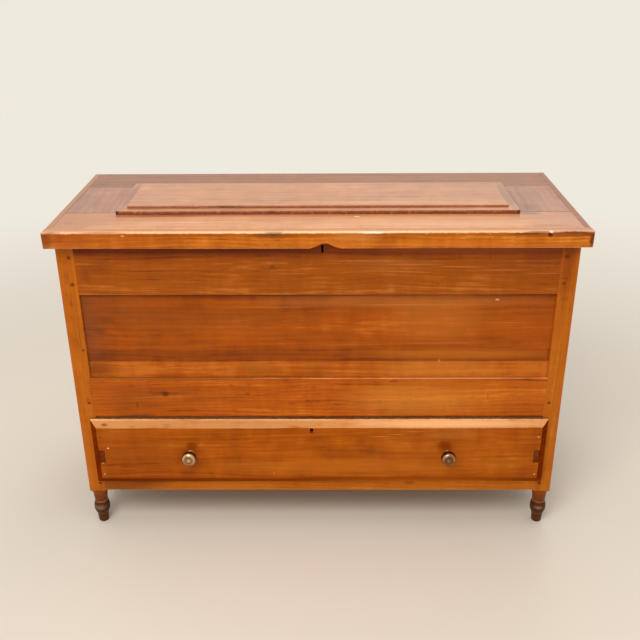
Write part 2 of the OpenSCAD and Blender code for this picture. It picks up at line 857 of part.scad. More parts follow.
module lid_front_strip() {
    strip_half = lid_half + end_strip_t;
    color("peru") placed() difference() {
        translate([-strip_half, lid_front_y, strip_z])
            rotate([90, 0, 90]) mirror([1, 0, 0]) linear_extrude(2 * strip_half) strip_section(front_strip_t);
        translate([0, lid_front_y + 1, 0]) rotate([90, 0, 0]) linear_extrude(front_strip_t + 2) hollow_outline();
        strip_nails_shape(pin_fit);
    }
}

module lid_end_strip(side) {
    color("peru") placed() difference() {
        on_side(side)
            translate([lid_half, case_d, strip_z])
                rotate([90, 0, 0]) linear_extrude(case_d - lid_front_y) strip_section(end_strip_t);
        strip_nails_shape(pin_fit);
    }
}

// A nail with its head flush at the origin, driven along +Y
module nail(grow) {
    rotate([-90, 0, 0]) {
        cylinder(d = nail_head_d + 2 * grow, h = nail_head_t + grow);
        cylinder(d = nail_d + 2 * grow, h = nail_l + grow);
    }
}

// Set nails along the strips, and one flush nail at each front corner
module strip_nails_shape(grow) {
    nail_z = lid_top - lid_t / 2 + 1;
    front_first = nail_inset - lid_half;
    front_step = -2 * front_first / (front_nails - 1);
    for (i = [0:front_nails - 1])
        translate([front_first + i * front_step, front_strip_y + nail_set, nail_z]) nail(grow);
    end_step = (case_d - 2 * nail_inset) / (end_nails - 1);
    for (s = [-1, 1]) on_side(s) {
        translate([lid_half + end_strip_t / 2, front_strip_y, strip_z + strip_h * 0.42]) nail(grow);
        for (i = [0:end_nails - 1])
            translate([lid_half + end_strip_t - nail_set, nail_inset + i * end_step, nail_z]) rotate([0, 0, 90]) nail(grow);
    }
}

module strip_nails() {
    color("rosybrown") placed() strip_nails_shape(0);
}

// Outer shape of the drawer front: a lipped board whose face is bevelled on all four sides
module drawer_front_shape() {
    intersection() {
        translate([-case_w, 0, 0]) rotate([90, 0, 90]) linear_extrude(2 * case_w) polygon([
            [drawer_front_in, drawer_low], [drawer_front_in, drawer_top], [-lip_t, drawer_top],
            [-field_out, drawer_top - bevel_w], [-field_out, drawer_low + bevel_w], [-lip_t, drawer_low]
        ]);
        linear_extrude(case_h) polygon([
            [drawer_half, drawer_front_in], [drawer_half, lip_back], [lip_half, lip_back], [lip_half, -lip_t],
            [lip_half - end_bevel_w, -field_out], [end_bevel_w - lip_half, -field_out], [-lip_half, -lip_t],
            [-lip_half, lip_back], [-drawer_half, lip_back], [-drawer_half, drawer_front_in]
        ]);
    }
}

// One dovetail seen from the side, from the back of the drawer front forwards
module tail(i, grow) {
    l = i == shown_tail ? field_out + drawer_front_in + 1 : tail_l;
    z = side_low + tail_first + i * tail_pitch;
    wide = tail_base / 2 + l * tail_slope;
    translate([drawer_inner - grow, 0, 0]) rotate([90, 0, 90]) linear_extrude(drawer_side_t + grow + (grow > 0 ? 1 : 0))
        polygon([
            [drawer_front_in + 1, z - tail_base / 2 - grow], [drawer_front_in - l - grow, z - wide - grow],
            [drawer_front_in - l - grow, z + wide + grow], [drawer_front_in + 1, z + tail_base / 2 + grow]
        ]);
}

module drawer_bottom_shape(grow) {
    block(
        [-drawer_inner - drawer_groove + fit - grow, drawer_inner + drawer_groove - fit + grow],
        [drawer_front_in - drawer_groove + fit - grow, drawer_end],
        [bottom_z - grow / 2, bottom_z + drawer_bottom_t + grow / 2]
    );
}

module drawer_nails_shape(grow) {
    for (s = [-1, 1], z = drawer_nail_zs) translate([s * drawer_nail_x, -field_out, z]) nail(grow);
}

module at_drawer_lock_screws() {
    for (s = [-1, 1], z = [drawer_lock_low + 5, drawer_top - 8])
        translate([drawer_key_x + s * (drawer_plate_half - 4), drawer_front_in + lock_plate_t, z])
            rotate([-90, 0, 0]) children();
}

module drawer_front() {
    color("sienna") placed() difference() {
        drawer_front_shape();
        for (s = [-1, 1], i = [0:tail_count - 1]) on_side(s) tail(i, fit / 2);
        drawer_bottom_shape(fit);
        block(
            [drawer_key_x - drawer_lock_half - fit, drawer_key_x + drawer_lock_half + fit],
            [drawer_lock_front - fit, drawer_front_in + 1],
            [drawer_lock_low - fit, drawer_top + 1]
        );
        keyhole(drawer_key_x, drawer_top - drawer_key_down, drawer_key_w, drawer_key_h, -field_out - 1,
            drawer_lock_front);
        at_drawer_lock_screws() screw(5, lock_screw_d, lock_screw_l, pin_fit);
        drawer_nails_shape(pin_fit);
        for (s = [-1, 1])
            translate([s * knob_x, drawer_front_in + 1, knob_z]) rotate([90, 0, 0])
                cylinder(d = stud_d + 2 * pin_fit, h = field_out + drawer_front_in + 2);
    }
}

module drawer_side(side) {
    color("burlywood") placed() difference() {
        on_side(side) difference() {
            union() {
                block([drawer_inner, drawer_half], [drawer_front_in, drawer_end], [side_low, side_top]);
                intersection() {
                    for (i = [0:tail_count - 1]) tail(i, 0);
                    drawer_front_shape();
                }
            }
            block([drawer_inner - 1, drawer_inner + drawer_groove], [drawer_back_y - fit, drawer_back_y + drawer_back_t + fit],
                [bottom_z, side_top + 1]);
        }
        drawer_bottom_shape(fit);
        drawer_nails_shape(pin_fit);
    }
}

module drawer_back() {
    color("burlywood") placed()
        block([-drawer_inner - drawer_groove + fit, drawer_inner + drawer_groove - fit],
            [drawer_back_y, drawer_back_y + drawer_back_t], [bottom_z + drawer_bottom_t, side_top - 4]);
}

module drawer_bottom() {
    color("burlywood") placed() drawer_bottom_shape(0);
}

module drawer_nails() {
    color("rosybrown") placed() drawer_nails_shape(0);
}

// Half outline of a knob, from its rose on the drawer's face to the rim and the dish of its rounded head
module knob_outline() {
    rose_t = 3;
    dish_r = knob_d * 0.27;
    dish_depth = 2;
    head_low = knob_middle - knob_head_t / 2;
    polygon(concat(
        [[0, -1], [knob_rose_d / 2 - 1, 0], [knob_rose_d / 2, 1], [knob_rose_d / 2 - 1.5, rose_t], [knob_neck_d / 2, rose_t + 2]],
        [[knob_neck_d / 2, head_low + 1]],
        [for (a = [-60:15:90]) [dish_r + (knob_d / 2 - dish_r) * cos(a), knob_middle + knob_head_t / 2 * sin(a)]],
        [for (t = [0.75:-0.25:0]) [dish_r * t, knob_reach - dish_depth * (1 - t * t)]]
    ));
}

module knob(side) {
    color("rosybrown") placed() translate([side * knob_x, -field_out, knob_z]) rotate([90, 0, 0]) {
        intersection() {
            rotate_extrude() knob_outline();
            cylinder(r = knob_d, h = knob_reach);
        }
        translate([0, 0, -stud_l]) cylinder(d = stud_d, h = stud_l + 1);
    }
}

// A washer and a six-sided nut hold each knob inside the drawer
module knob_nuts() {
    color("gray") placed() for (s = [-1, 1])
        translate([s * knob_x, drawer_front_in + washer_t + nut_t, knob_z]) rotate([90, 0, 0]) difference() {
            union() {
                cylinder(d = nut_d, h = nut_t + 0.1, $fn = 6);
                translate([0, 0, nut_t]) cylinder(d = nut_d + 5, h = washer_t);
            }
            translate([0, 0, -1]) cylinder(d = stud_d + 2 * pin_fit, h = nut_t + washer_t + 2);
        }
}

module drawer_bolt_shape(travel, grow) {
    block(
        [drawer_key_x - drawer_bolt_half - grow, drawer_key_x + drawer_bolt_half + grow],
        [drawer_bolt_y - bolt_t / 2 - grow, drawer_bolt_y + bolt_t / 2 + grow],
        [drawer_top - drawer_bolt_h - grow, drawer_top - 0.5 + travel + grow]
    );
}

// Drawer lock: the bolt slides up into the rail above
module drawer_lock() {
    color("darkgoldenrod") placed() difference() {
        union() {
            block([drawer_key_x - drawer_lock_half, drawer_key_x + drawer_lock_half],
                [drawer_lock_front, drawer_front_in], [drawer_lock_low, drawer_top]);
            block([drawer_key_x - drawer_plate_half, drawer_key_x + drawer_plate_half],
                [drawer_front_in, drawer_front_in + lock_plate_t], [drawer_lock_low - 3, drawer_top]);
        }
        drawer_bolt_shape(bolt_travel, bolt_gap);
        keyhole(drawer_key_x, drawer_top - drawer_key_down, drawer_key_w, drawer_key_h,
            drawer_lock_front - 1, drawer_bolt_y);
        at_drawer_lock_screws() screw(5, lock_screw_d, lock_screw_l, pin_fit);
    }
}

module drawer_lock_screws() {
    color("gray") placed() at_drawer_lock_screws() slotted_screw(5, lock_screw_d, lock_screw_l);
}

module drawer_lock_bolt() {
    color("silver") placed() drawer_bolt_shape(0, 0);
}

post(-1, true);  // front_left_post
post(1, true);  // front_right_post
post(-1, false);  // back_left_post
post(1, false);  // back_right_post
front_top_rail();
front_lower_rail();
front_bottom_rail();
front_panel();
end_rail(-1, top_rail);  // left_top_rail
end_rail(-1, end_bottom_rail);  // left_bottom_rail
end_panel(-1);  // left_panel
end_rail(1, top_rail);  // right_top_rail
end_rail(1, end_bottom_rail);  // right_bottom_rail
end_panel(1);  // right_panel
back_top_rail();
back_bottom_rail();
back_panel();
joint_pegs();
chest_floor();
floor_bearers();
drawer_runners();
drawer_guides();
hinge_case_leaves();
hinge_pins();
hinge_case_screws();
chest_lock();
chest_lock_screws();
lid_front_rail();
lid_back_rail();
lid_stile(-1);  // lid_left_stile
lid_stile(1);  // lid_right_stile
lid_panel();
lid_lower_step();
lid_upper_step();
lid_front_strip();
lid_end_strip(-1);  // lid_left_strip
lid_end_strip(1);  // lid_right_strip
strip_nails();
hinge_lid_leaves();
hinge_lid_screws();
lock_link_plate();
drawer_front();
drawer_side(-1);  // drawer_left_side
drawer_side(1);  // drawer_right_side
drawer_back();
drawer_bottom();
knob(-1);  // left_knob
knob(1);  // right_knob
knob_nuts();
drawer_nails();
drawer_lock();
drawer_lock_screws();
chest_lock_bolt();
drawer_lock_bolt();
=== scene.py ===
import json
import math

import bmesh
import bpy
from mathutils import Matrix, Vector

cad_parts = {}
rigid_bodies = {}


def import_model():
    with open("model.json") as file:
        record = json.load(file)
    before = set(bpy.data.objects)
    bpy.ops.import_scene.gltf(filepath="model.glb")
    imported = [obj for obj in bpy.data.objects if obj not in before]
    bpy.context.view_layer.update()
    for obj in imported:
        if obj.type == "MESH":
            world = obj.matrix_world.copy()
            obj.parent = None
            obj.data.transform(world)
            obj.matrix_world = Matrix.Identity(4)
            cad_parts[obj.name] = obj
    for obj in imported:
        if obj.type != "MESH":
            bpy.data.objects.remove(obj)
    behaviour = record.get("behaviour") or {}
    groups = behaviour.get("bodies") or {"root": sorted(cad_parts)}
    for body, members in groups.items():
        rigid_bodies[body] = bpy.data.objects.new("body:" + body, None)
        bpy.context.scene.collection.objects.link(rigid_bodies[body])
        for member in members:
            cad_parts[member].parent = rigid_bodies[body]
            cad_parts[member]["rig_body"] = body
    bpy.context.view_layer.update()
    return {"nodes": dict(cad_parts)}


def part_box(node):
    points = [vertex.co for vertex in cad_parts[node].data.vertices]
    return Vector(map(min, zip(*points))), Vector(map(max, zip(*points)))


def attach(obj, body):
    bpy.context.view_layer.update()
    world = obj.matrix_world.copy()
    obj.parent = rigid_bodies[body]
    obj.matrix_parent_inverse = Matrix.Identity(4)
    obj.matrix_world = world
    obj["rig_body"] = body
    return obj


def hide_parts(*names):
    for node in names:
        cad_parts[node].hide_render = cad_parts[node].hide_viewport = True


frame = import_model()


# Corner posts
# Four square posts of light, straight-grained maple, each turned at its lower end into a foot.
# The rails' tenons go into them and are locked with round pegs; the arrises are planed round.

# The plane of the posts' front faces; places along the depth of the chest are counted from it
front_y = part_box("front_left_post")[0].y
# Below this height the posts are turned round
foot_height = 0.110
# A half size, in millimetres, that takes a mark right across the chest
whole = 3000


def linear(hex_colour):
    """An sRGB colour such as "b4652a" as the linear colour that a shader takes."""
    parts = [int(hex_colour[i:i + 2], 16) / 255 for i in (0, 2, 4)]
    return [c / 12.92 if c <= 0.04045 else ((c + 0.055) / 1.055) ** 2.4 for c in parts] + [1.0]


def add(tree, kind, inputs=None, stops=None, **settings):
    """Adds a node with its settings; inputs gives each socket a value or the socket that feeds it."""
    made = tree.nodes.new("ShaderNode" + kind)
    for name, value in settings.items():
        setattr(made, name, value)
    for key, value in (inputs or {}).items():
        if isinstance(value, bpy.types.NodeSocket):
            tree.links.new(value, made.inputs[key])
        else:
            made.inputs[key].default_value = value
    if stops:
        ramp = made.color_ramp
        while len(ramp.elements) < len(stops):
            ramp.elements.new(1.0)
        for element, (place, colour) in zip(ramp.elements, stops):
            element.position = place
            element.color = colour
    return made


def wood(name, colours, along="X", seed=0.0, ring=9, swirl=1.0, bands=(), marks=(), flecks=0.28,
         figure=(0.10, 0.5, 0.6, 0.5, 0.3, 0.4), worn="c98a52", wear=0.6, roughness=(0.26, 0.40), gloss=0.12):
    """Planed solid wood, bare or under an old clear varnish.

    The grain runs along that axis, and ring is the spacing of the growth rings in millimetres. figure gives
    the shares of the rings, of broad and narrow streaks, of fibres, of the curl across them and of clouds.
    worn and wear are the colour and the share of the rubbed arrises, and gloss is the specular level. bands
    are changes of tone up the piece, some of them painted shade and light: (height, tone). marks are knots,
    stains, scratches and dents, and also painted shade, shadows and highlights: (centre, half sizes,
    strength, colour). Both are in millimetres, counted from the middle of the chest, the posts' front and the
    floor."""
    material = bpy.data.materials.new(name)
    material.use_nodes = True
    tree = material.node_tree
    shader = tree.nodes["Principled BSDF"]
    place = add(tree, "TexCoord").outputs["Object"]
    turn = {"X": (0, 0, 0), "Y": (0, 0, math.radians(-90)), "Z": (0, math.radians(90), 0)}[along]
    start = (seed, 0.37 * seed, -0.83 * seed)
    grain = add(tree, "Mapping", {"Vector": place, "Rotation": turn, "Location": start}).outputs[0]

    # The fibres wander by about 20 mm over half a metre, and all closer figure follows them
    slow = add(tree, "VectorMath", {0: grain, 1: (1.3, 6, 6)}, operation="MULTIPLY").outputs[0]
    sway = add(tree, "TexNoise", {"Vector": slow, "Scale": 1.0, "Detail": 2.0}).outputs["Color"]
    wander = 0.05 * swirl
    bent = add(tree, "VectorMath", {0: sway, 1: (0, wander, wander), 2: grain},
               operation="MULTIPLY_ADD").outputs[0]
    # A wave texture of scale 1 has its rings 0.314 m apart
    ring_scale = 0.314 / (ring / 1000)
    rings = add(tree, "TexWave", {"Vector": bent, "Scale": ring_scale, "Distortion": 2.0, "Detail": 2.0,
                                  "Detail Scale": 0.5}, wave_type="RINGS", rings_direction="X").outputs["Fac"]
    # Broad streaks are about 70 mm wide and narrow ones 12 mm. Fibres are drawn 3 mm wide, since real
    # ones are finer than the picture shows. The curl stands across them, about 25 mm from crest to crest.
    layers = [rings]
    for reach, width in ((1.6, 14), (3, 80), (8, 320), (40, 16)):
        pulled = add(tree, "VectorMath", {0: bent, 1: (reach, width, width)}, operation="MULTIPLY").outputs[0]
        layers.append(add(tree, "TexNoise", {"Vector": pulled, "Scale": 1.0, "Detail": 3.0}).outputs["Fac"])
    broad, fibres = layers[1], layers[3]
    # Clouds of tone are about 60 mm wide
    cloud = add(tree, "TexNoise", {"Vector": place, "Scale": 16.0, "Detail": 4.0}).outputs["Fac"]
    layers.append(cloud)
    # Each layer is 0.5 on average, and so is the tone
    tone = 0.5 - sum(figure) / 2
    for layer, share in zip(layers, figure):
        tone = add(tree, "Math", {0: layer, 1: share, 2: tone}, operation="MULTIPLY_ADD").outputs[0]
    if bands:
        low, high = bands[0][0], bands[-1][0]
        # Their edges waver by a few millimetres with the grain
        waver = 0.006
        soft = add(tree, "VectorMath", {0: sway, 1: (0, 0, waver), 2: place},
                   operation="MULTIPLY_ADD").outputs[0]
        height = add(tree, "SeparateXYZ", {0: soft}).outputs["Z"]
        share = add(tree, "MapRange", {"Value": height, "From Min": low / 1000 + waver / 2,
                                       "From Max": high / 1000 + waver / 2}).outputs[0]
        stops = [((z - low) / (high - low), (t, t, t, 1)) for z, t in bands]
        strip = add(tree, "ValToRGB", {0: share}, stops=stops).outputs[0]
        tone = add(tree, "Math", {0: strip, 1: tone}, operation="ADD").outputs[0]
        tone = add(tree, "Math", {0: tone, 1: 0.5}, operation="SUBTRACT").outputs[0]
    # The colours share the tones from 0.15 to 0.85, because few places are darker or paler
    stops = [(i / (len(colours) - 1) * 0.7 + 0.15, linear(c)) for i, c in enumerate(colours)]
    colour = add(tree, "ValToRGB", {0: tone}, stops=stops).outputs[0]

    # Short dark pores, 2 mm wide and about 20 mm long, wherever a noise falls under 0.36
    if flecks:
        pulled = add(tree, "VectorMath", {0: bent, 1: (45, 420, 420)}, operation="MULTIPLY").outputs[0]
        pores = add(tree, "TexNoise", {"Vector": pulled, "Scale": 1.0, "Detail": 1.0}).outputs["Fac"]
        share = add(tree, "MapRange", {"Value": pores, "From Min": 0.36, "From Max": 0.26,
                                       "To Max": flecks}).outputs[0]
        colour = add(tree, "Mix", {0: share, 6: colour, 7: linear("4a1e08")}, data_type="RGBA").outputs[2]

    # The planed arrises are rubbed lighter, most where a cloud is pale
    arris = add(tree, "Attribute", attribute_name="arris").outputs["Fac"]
    rubbed = add(tree, "MapRange", {"Value": cloud, "From Min": 0.38, "From Max": 0.58, "To Min": wear * 0.35,
                                    "To Max": wear}).outputs[0]
    edge = add(tree, "Math", {0: arris, 1: rubbed}, operation="MULTIPLY").outputs[0]
    colour = add(tree, "Mix", {0: edge, 6: colour, 7: linear(worn)}, data_type="RGBA").outputs[2]

    # The marks' outlines are broken up by this much, and their centres are moved by half of it in return
    ragged = (0.008, 0.008, 0.004)
    if marks:
        fine = add(tree, "TexNoise", {"Vector": place, "Scale": 110.0, "Detail": 3.0}).outputs["Color"]
        broken = add(tree, "VectorMath", {0: fine, 1: ragged, 2: place}, operation="MULTIPLY_ADD").outputs[0]
    for (x, y, z), half, strength, stain in marks:
        centre = (x / 1000 + ragged[0] / 2, y / 1000 + front_y + ragged[1] / 2, z / 1000 + ragged[2] / 2)
        away = add(tree, "VectorMath", {0: broken, 1: centre}, operation="SUBTRACT").outputs[0]
        scale = [1000 / h for h in half]
        share = add(tree, "VectorMath", {0: away, 1: scale}, operation="MULTIPLY").outputs[0]
        reach = add(tree, "VectorMath", {0: share}, operation="LENGTH").outputs["Value"]
        # A mark is full up to 0.3 of its half size and fades out at 1.2
        inside = add(tree, "MapRange", {"Value": reach, "From Min": 1.2, "From Max": 0.3, "To Max": strength},
                     interpolation_type="SMOOTHSTEP").outputs[0]
        colour = add(tree, "Mix", {0: inside, 6: colour, 7: linear(stain)}, data_type="RGBA").outputs[2]

    tree.links.new(colour, shader.inputs["Base Color"])
    # The varnish is duller along some broad streaks, and the fibres stand up by less than 1 mm
    sheen = add(tree, "MapRange", {"Value": broad, "From Min": 0.3, "From Max": 0.7,
                                   "To Min": roughness[0], "To Max": roughness[1]}).outputs[0]
    tree.links.new(sheen, shader.inputs["Roughness"])
    relief = add(tree, "Bump", {"Height": fibres, "Strength": 0.15, "Distance": 0.0008}).outputs[0]
    tree.links.new(relief, shader.inputs["Normal"])
    shader.inputs["Specular IOR Level"].default_value = gloss
    return material


def dress(piece, material):
    piece.data.materials.clear()
    piece.data.materials.append(material)


def eased(name, material, radius=0.0012, shortest=0.015, turned_below=None):
    """The wooden piece of that node with its long arrises planed round, as a new piece in its place."""
    # Points under 2 micrometres apart are one. The others are angles between two faces, in radians: below
    # the first they are one flat face, above the second an arris, and below the third turned wood is smooth.
    same_point, one_face, sharp, smooth_turning = 0.000002, 0.02, 0.9, 0.7
    node = frame["nodes"][name]
    bm = bmesh.new()
    bm.from_mesh(node.data)
    bmesh.ops.remove_doubles(bm, verts=bm.verts, dist=same_point)
    bmesh.ops.dissolve_limit(bm, angle_limit=one_face, verts=bm.verts, edges=bm.edges)
    long_arrises = [e for e in bm.edges if e.is_manifold and e.is_convex and e.calc_length() > shortest
                    and e.calc_face_angle() > sharp]
    arris = bm.faces.layers.float.new("arris")
    planed = bmesh.ops.bevel(bm, geom=long_arrises, offset=radius, offset_type="OFFSET", segments=2,
                             profile=0.5, affect="EDGES", material=-1, clamp_overlap=False)
    for face in planed["faces"]:
        face[arris] = 1.0
    if turned_below:
        for face in bm.faces:
            face.smooth = all(v.co.z < turned_below for v in face.verts)
        for edge in bm.edges:
            edge.smooth = edge.calc_face_angle(0.0) < smooth_turning
    mesh = bpy.data.meshes.new(name + "_eased")
    bm.to_mesh(mesh)
    bm.free()
    piece = bpy.data.objects.new(name + "_eased", mesh)
    bpy.context.scene.collection.objects.link(piece)
    dress(piece, material)
    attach(piece, node["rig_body"])
    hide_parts(name)
    return piece


post_marks = [
    # The feet are stained dark by floors and mops, redder at the neck and darker at the toes; a painted
    # shadow lies under the square of the post, and painted highlights lie along the beads
    ((0, 243, 42), (whole, whole, 72), 0.97, "4a2410"), ((0, 243, 93), (whole, whole, 19), 0.72, "78380e"),
    ((0, 243, 108), (whole, whole, 3), 0.6, "4a2008"), ((0, 243, 70), (whole, whole, 3.5), 0.45, "a87848"),
    ((0, 243, 29), (whole, whole, 3), 0.35, "94643e"), ((0, 243, 6), (whole, whole, 6), 0.5, "3a1c0c"),
    # Painted greyish highlights on the fronts of the bulbs
    ((-610, 0, 53), (17, 60, 9), 0.42, "a08872"), ((606, 0, 54), (13, 60, 6), 0.45, "a48c76"),
    # Dark spots and darker stretches
    ((-595, 0, 545), (4, 30, 4), 0.8, "4a2008"), ((-609, 0, 674), (3, 30, 11), 0.55, "7a3c10"),
    ((-612, 0, 740), (6, 30, 22), 0.4, "8a4818"), ((604, 0, 753), (13, 30, 30), 0.4, "8a4010"),
    ((602, 0, 738), (14, 30, 2.5), 0.55, "6a2c08"), ((605, 0, 684), (12, 30, 9), 0.45, "8a4414"),
    ((-600, 0, 400), (5, 30, 9), 0.4, "6a3410"), ((600, 0, 180), (12, 30, 40), 0.35, "903f08"),
    ((604, 0, 820), (18, 30, 60), 0.6, "8c3e0c"), ((-594, 0, 190), (7, 30, 110), 0.35, "863606"),
    ((597, 0, 160), (9, 30, 60), 0.3, "863606"), ((606, 0, 790), (24, 30, 130), 0.55, "8c3a06"),
    # Stain round the pegs
    ((-600, 0, 795), (8, 30, 8), 0.55, "743408"), ((-600, 0, 724), (8, 30, 8), 0.55, "743408"),
    ((600, 0, 795), (8, 30, 8), 0.5, "642a08")
]
# Maple under varnish: an even, clear orange with fine straight streaks, paler than the rails
post_wood = wood("varnished_maple_of_posts", ("904808", "b05c0c", "be6812", "ce8434"), along="Z", seed=0.4,
                 ring=8, swirl=0.4, figure=(0.05, 0.4, 0.6, 0.45, 0.3, 0.45), worn="c87830", wear=0.4,
                 marks=post_marks)
for name in ("front_left_post", "front_right_post", "back_left_post", "back_right_post"):
    eased(name, post_wood, turned_below=foot_height - 0.0005)


# Rails
# Boards 22 mm thick, planed and tenoned into the posts; the grain runs along each rail.
# The front's are darker and redder than the posts and flat-sawn, with a few small knots.
top_rail_marks = [
    # A knot, a dull place at the left, two scratches and a dent under the lid
    ((-109, 1, 766), (36, 20, 6), 0.4, "7a3808"), ((-109, 1, 769), (9, 20, 7), 0.55, "66300f"),
    ((-534, 1, 770), (40, 20, 22), 0.3, "6a3014"), ((345, 1, 800), (1.6, 20, 13), 0.55, "4c2008"),
    ((414, 1, 797), (1.6, 20, 12), 0.6, "4c2008"), ((308, 1, 812), (6, 20, 4), 0.6, "4c2008"),
    # Pale lines of grain that run down to the right
    ((-60, 1, 752), (60, 20, 1.6), 0.35, "c87a34"), ((110, 1, 784), (90, 20, 2.2), 0.45, "c4783a"),
    ((230, 1, 775), (70, 20, 2.2), 0.45, "c4783a"), ((346, 1, 769), (70, 20, 2.2), 0.5, "c87c3c"),
    ((451, 1, 760), (70, 20, 2.2), 0.5, "c87c3c"), ((545, 1, 751), (60, 20, 2.0), 0.4, "c4783a"),
    # Darker ends and a lighter middle, and a painted shadow under the lid, lighter at the right
    ((-565, 1, 750), (14, 20, 26), 0.35, "66300f"), ((545, 1, 800), (60, 20, 40), 0.45, "7a300a"),
    ((-200, 1, 812), (240, 20, 15), 0.3, "7c3810"), ((500, 1, 775), (80, 20, 30), 0.25, "7c3810"),
    ((190, 1, 775), (110, 20, 24), 0.2, "c07838"), ((0, 1, 815), (whole, 20, 17), 0.65, "681c00"),
    ((340, 1, 814), (360, 20, 14), 0.8, "a24e22")
]
top_rail_bands = ((696, 0.76), (700, 0.6), (730, 0.52), (785, 0.5), (800, 0.42), (813, 0.32), (848, 0.3))
# Pine under varnish: red-brown and silky, with pale lines of grain, and painted darker towards the lid as
# shade under it
top_rail_wood = wood("varnished_pine_of_top_rail", ("7c3404", "964a06", "a25008", "bc6e28"), seed=0.3,
                     ring=11, figure=(0.10, 0.5, 0.65, 0.75, 0.3, 0.4), bands=top_rail_bands,
                     marks=top_rail_marks, worn="b8682c")
lower_rail_marks = [
    # A large knot in its dark streak, small knots, scratches and scuffs
    ((-398, 1, 419), (72, 20, 5), 0.75, "6c320c"), ((-398, 1, 417), (12, 20, 9), 0.92, "441c08"),
    ((-473, 1, 386), (3.4, 20, 13), 0.75, "5c2808"), ((-29, 1, 395), (4, 20, 4), 0.65, "4c2408"),
    ((-470, 1, 352), (45, 20, 5), 0.6, "5c3a24"), ((-183, 1, 416), (6, 20, 6), 0.5, "6a3008"),
    ((159, 1, 394), (4, 20, 4), 0.65, "4c2408"), ((193, 1, 453), (14, 20, 3), 0.7, "5a2808"),
    ((439, 1, 409), (3, 20, 12), 0.5, "6a3008"),
    # Darker wood at the left and lighter at the right
    ((-500, 1, 400), (90, 20, 60), 0.25, "7a3a10"), ((470, 1, 410), (140, 20, 50), 0.25, "d07820"),
    ((250, 1, 400), (210, 20, 60), 0.4, "dc9038"), ((-400, 1, 405), (240, 20, 50), 0.3, "8c460c"),
    # Darker along the top edge at the left, and painted shade along the bottom edge, over the gap above the
    # drawer
    ((-380, 1, 462), (350, 20, 6), 0.85, "8c4c14"), ((0, 1, 347), (whole, 20, 4.2), 0.85, "5c2000")
]
# The liveliest of the pine boards: strong orange streaks and pores, with edges rubbed pale
lower_rail_wood = wood("varnished_pine_of_lower_rail", ("843a02", "ae5206", "be5e0c", "d47c28"), seed=0.9,
                       ring=10, figure=(0.12, 0.55, 0.85, 0.7, 0.35, 0.45), flecks=0.5, worn="d8a070",
                       wear=0.8, marks=lower_rail_marks)
bottom_rail_marks = [
    # Darker at the left and lighter at the right, most of all next to the drawer
    ((-540, 1, 130), (140, 20, 24), 0.75, "84420c"), ((-470, 1, 141), (60, 20, 8), 0.4, "6a300c"),
    ((246, 1, 138), (16, 20, 5), 0.5, "6a300c"), ((-270, 1, 130), (120, 20, 24), 0.4, "cc7420"),
    ((-480, 1, 149), (170, 20, 9), 0.5, "6a2400"), ((260, 1, 150), (300, 20, 8), 0.7, "dc7c24")
]
# The same pine, lighter and plainer than the others: an even orange brown
bottom_rail_wood = wood("varnished_pine_of_bottom_rail", ("823c04", "b45e0c", "c26c12", "d68630"), seed=1.7,
                        ring=10, marks=bottom_rail_marks)
eased("front_top_rail", top_rail_wood, shortest=0.2)
eased("front_lower_rail", lower_rail_wood, radius=0.002, shortest=0.2)
eased("front_bottom_rail", bottom_rail_wood, shortest=0.2)
# The ends' and the back's rails are of the same pine, less rubbed, so that they look browner and more even
end_rail_wood = wood("varnished_pine_of_end_rails", ("78330a", "964a12", "a65216", "b86a2c"), along="Y",
                     seed=2.1, ring=11)
for name in ("left_top_rail", "left_bottom_rail", "right_top_rail", "right_bottom_rail"):
    eased(name, end_rail_wood)
back_rail_wood = wood("varnished_pine_of_back_rails", ("702f0c", "8c4614", "9c501c", "ae662e"), seed=2.6,
                      ring=12)
for name in ("back_top_rail", "back_bottom_rail"):
    eased(name, back_rail_wood)


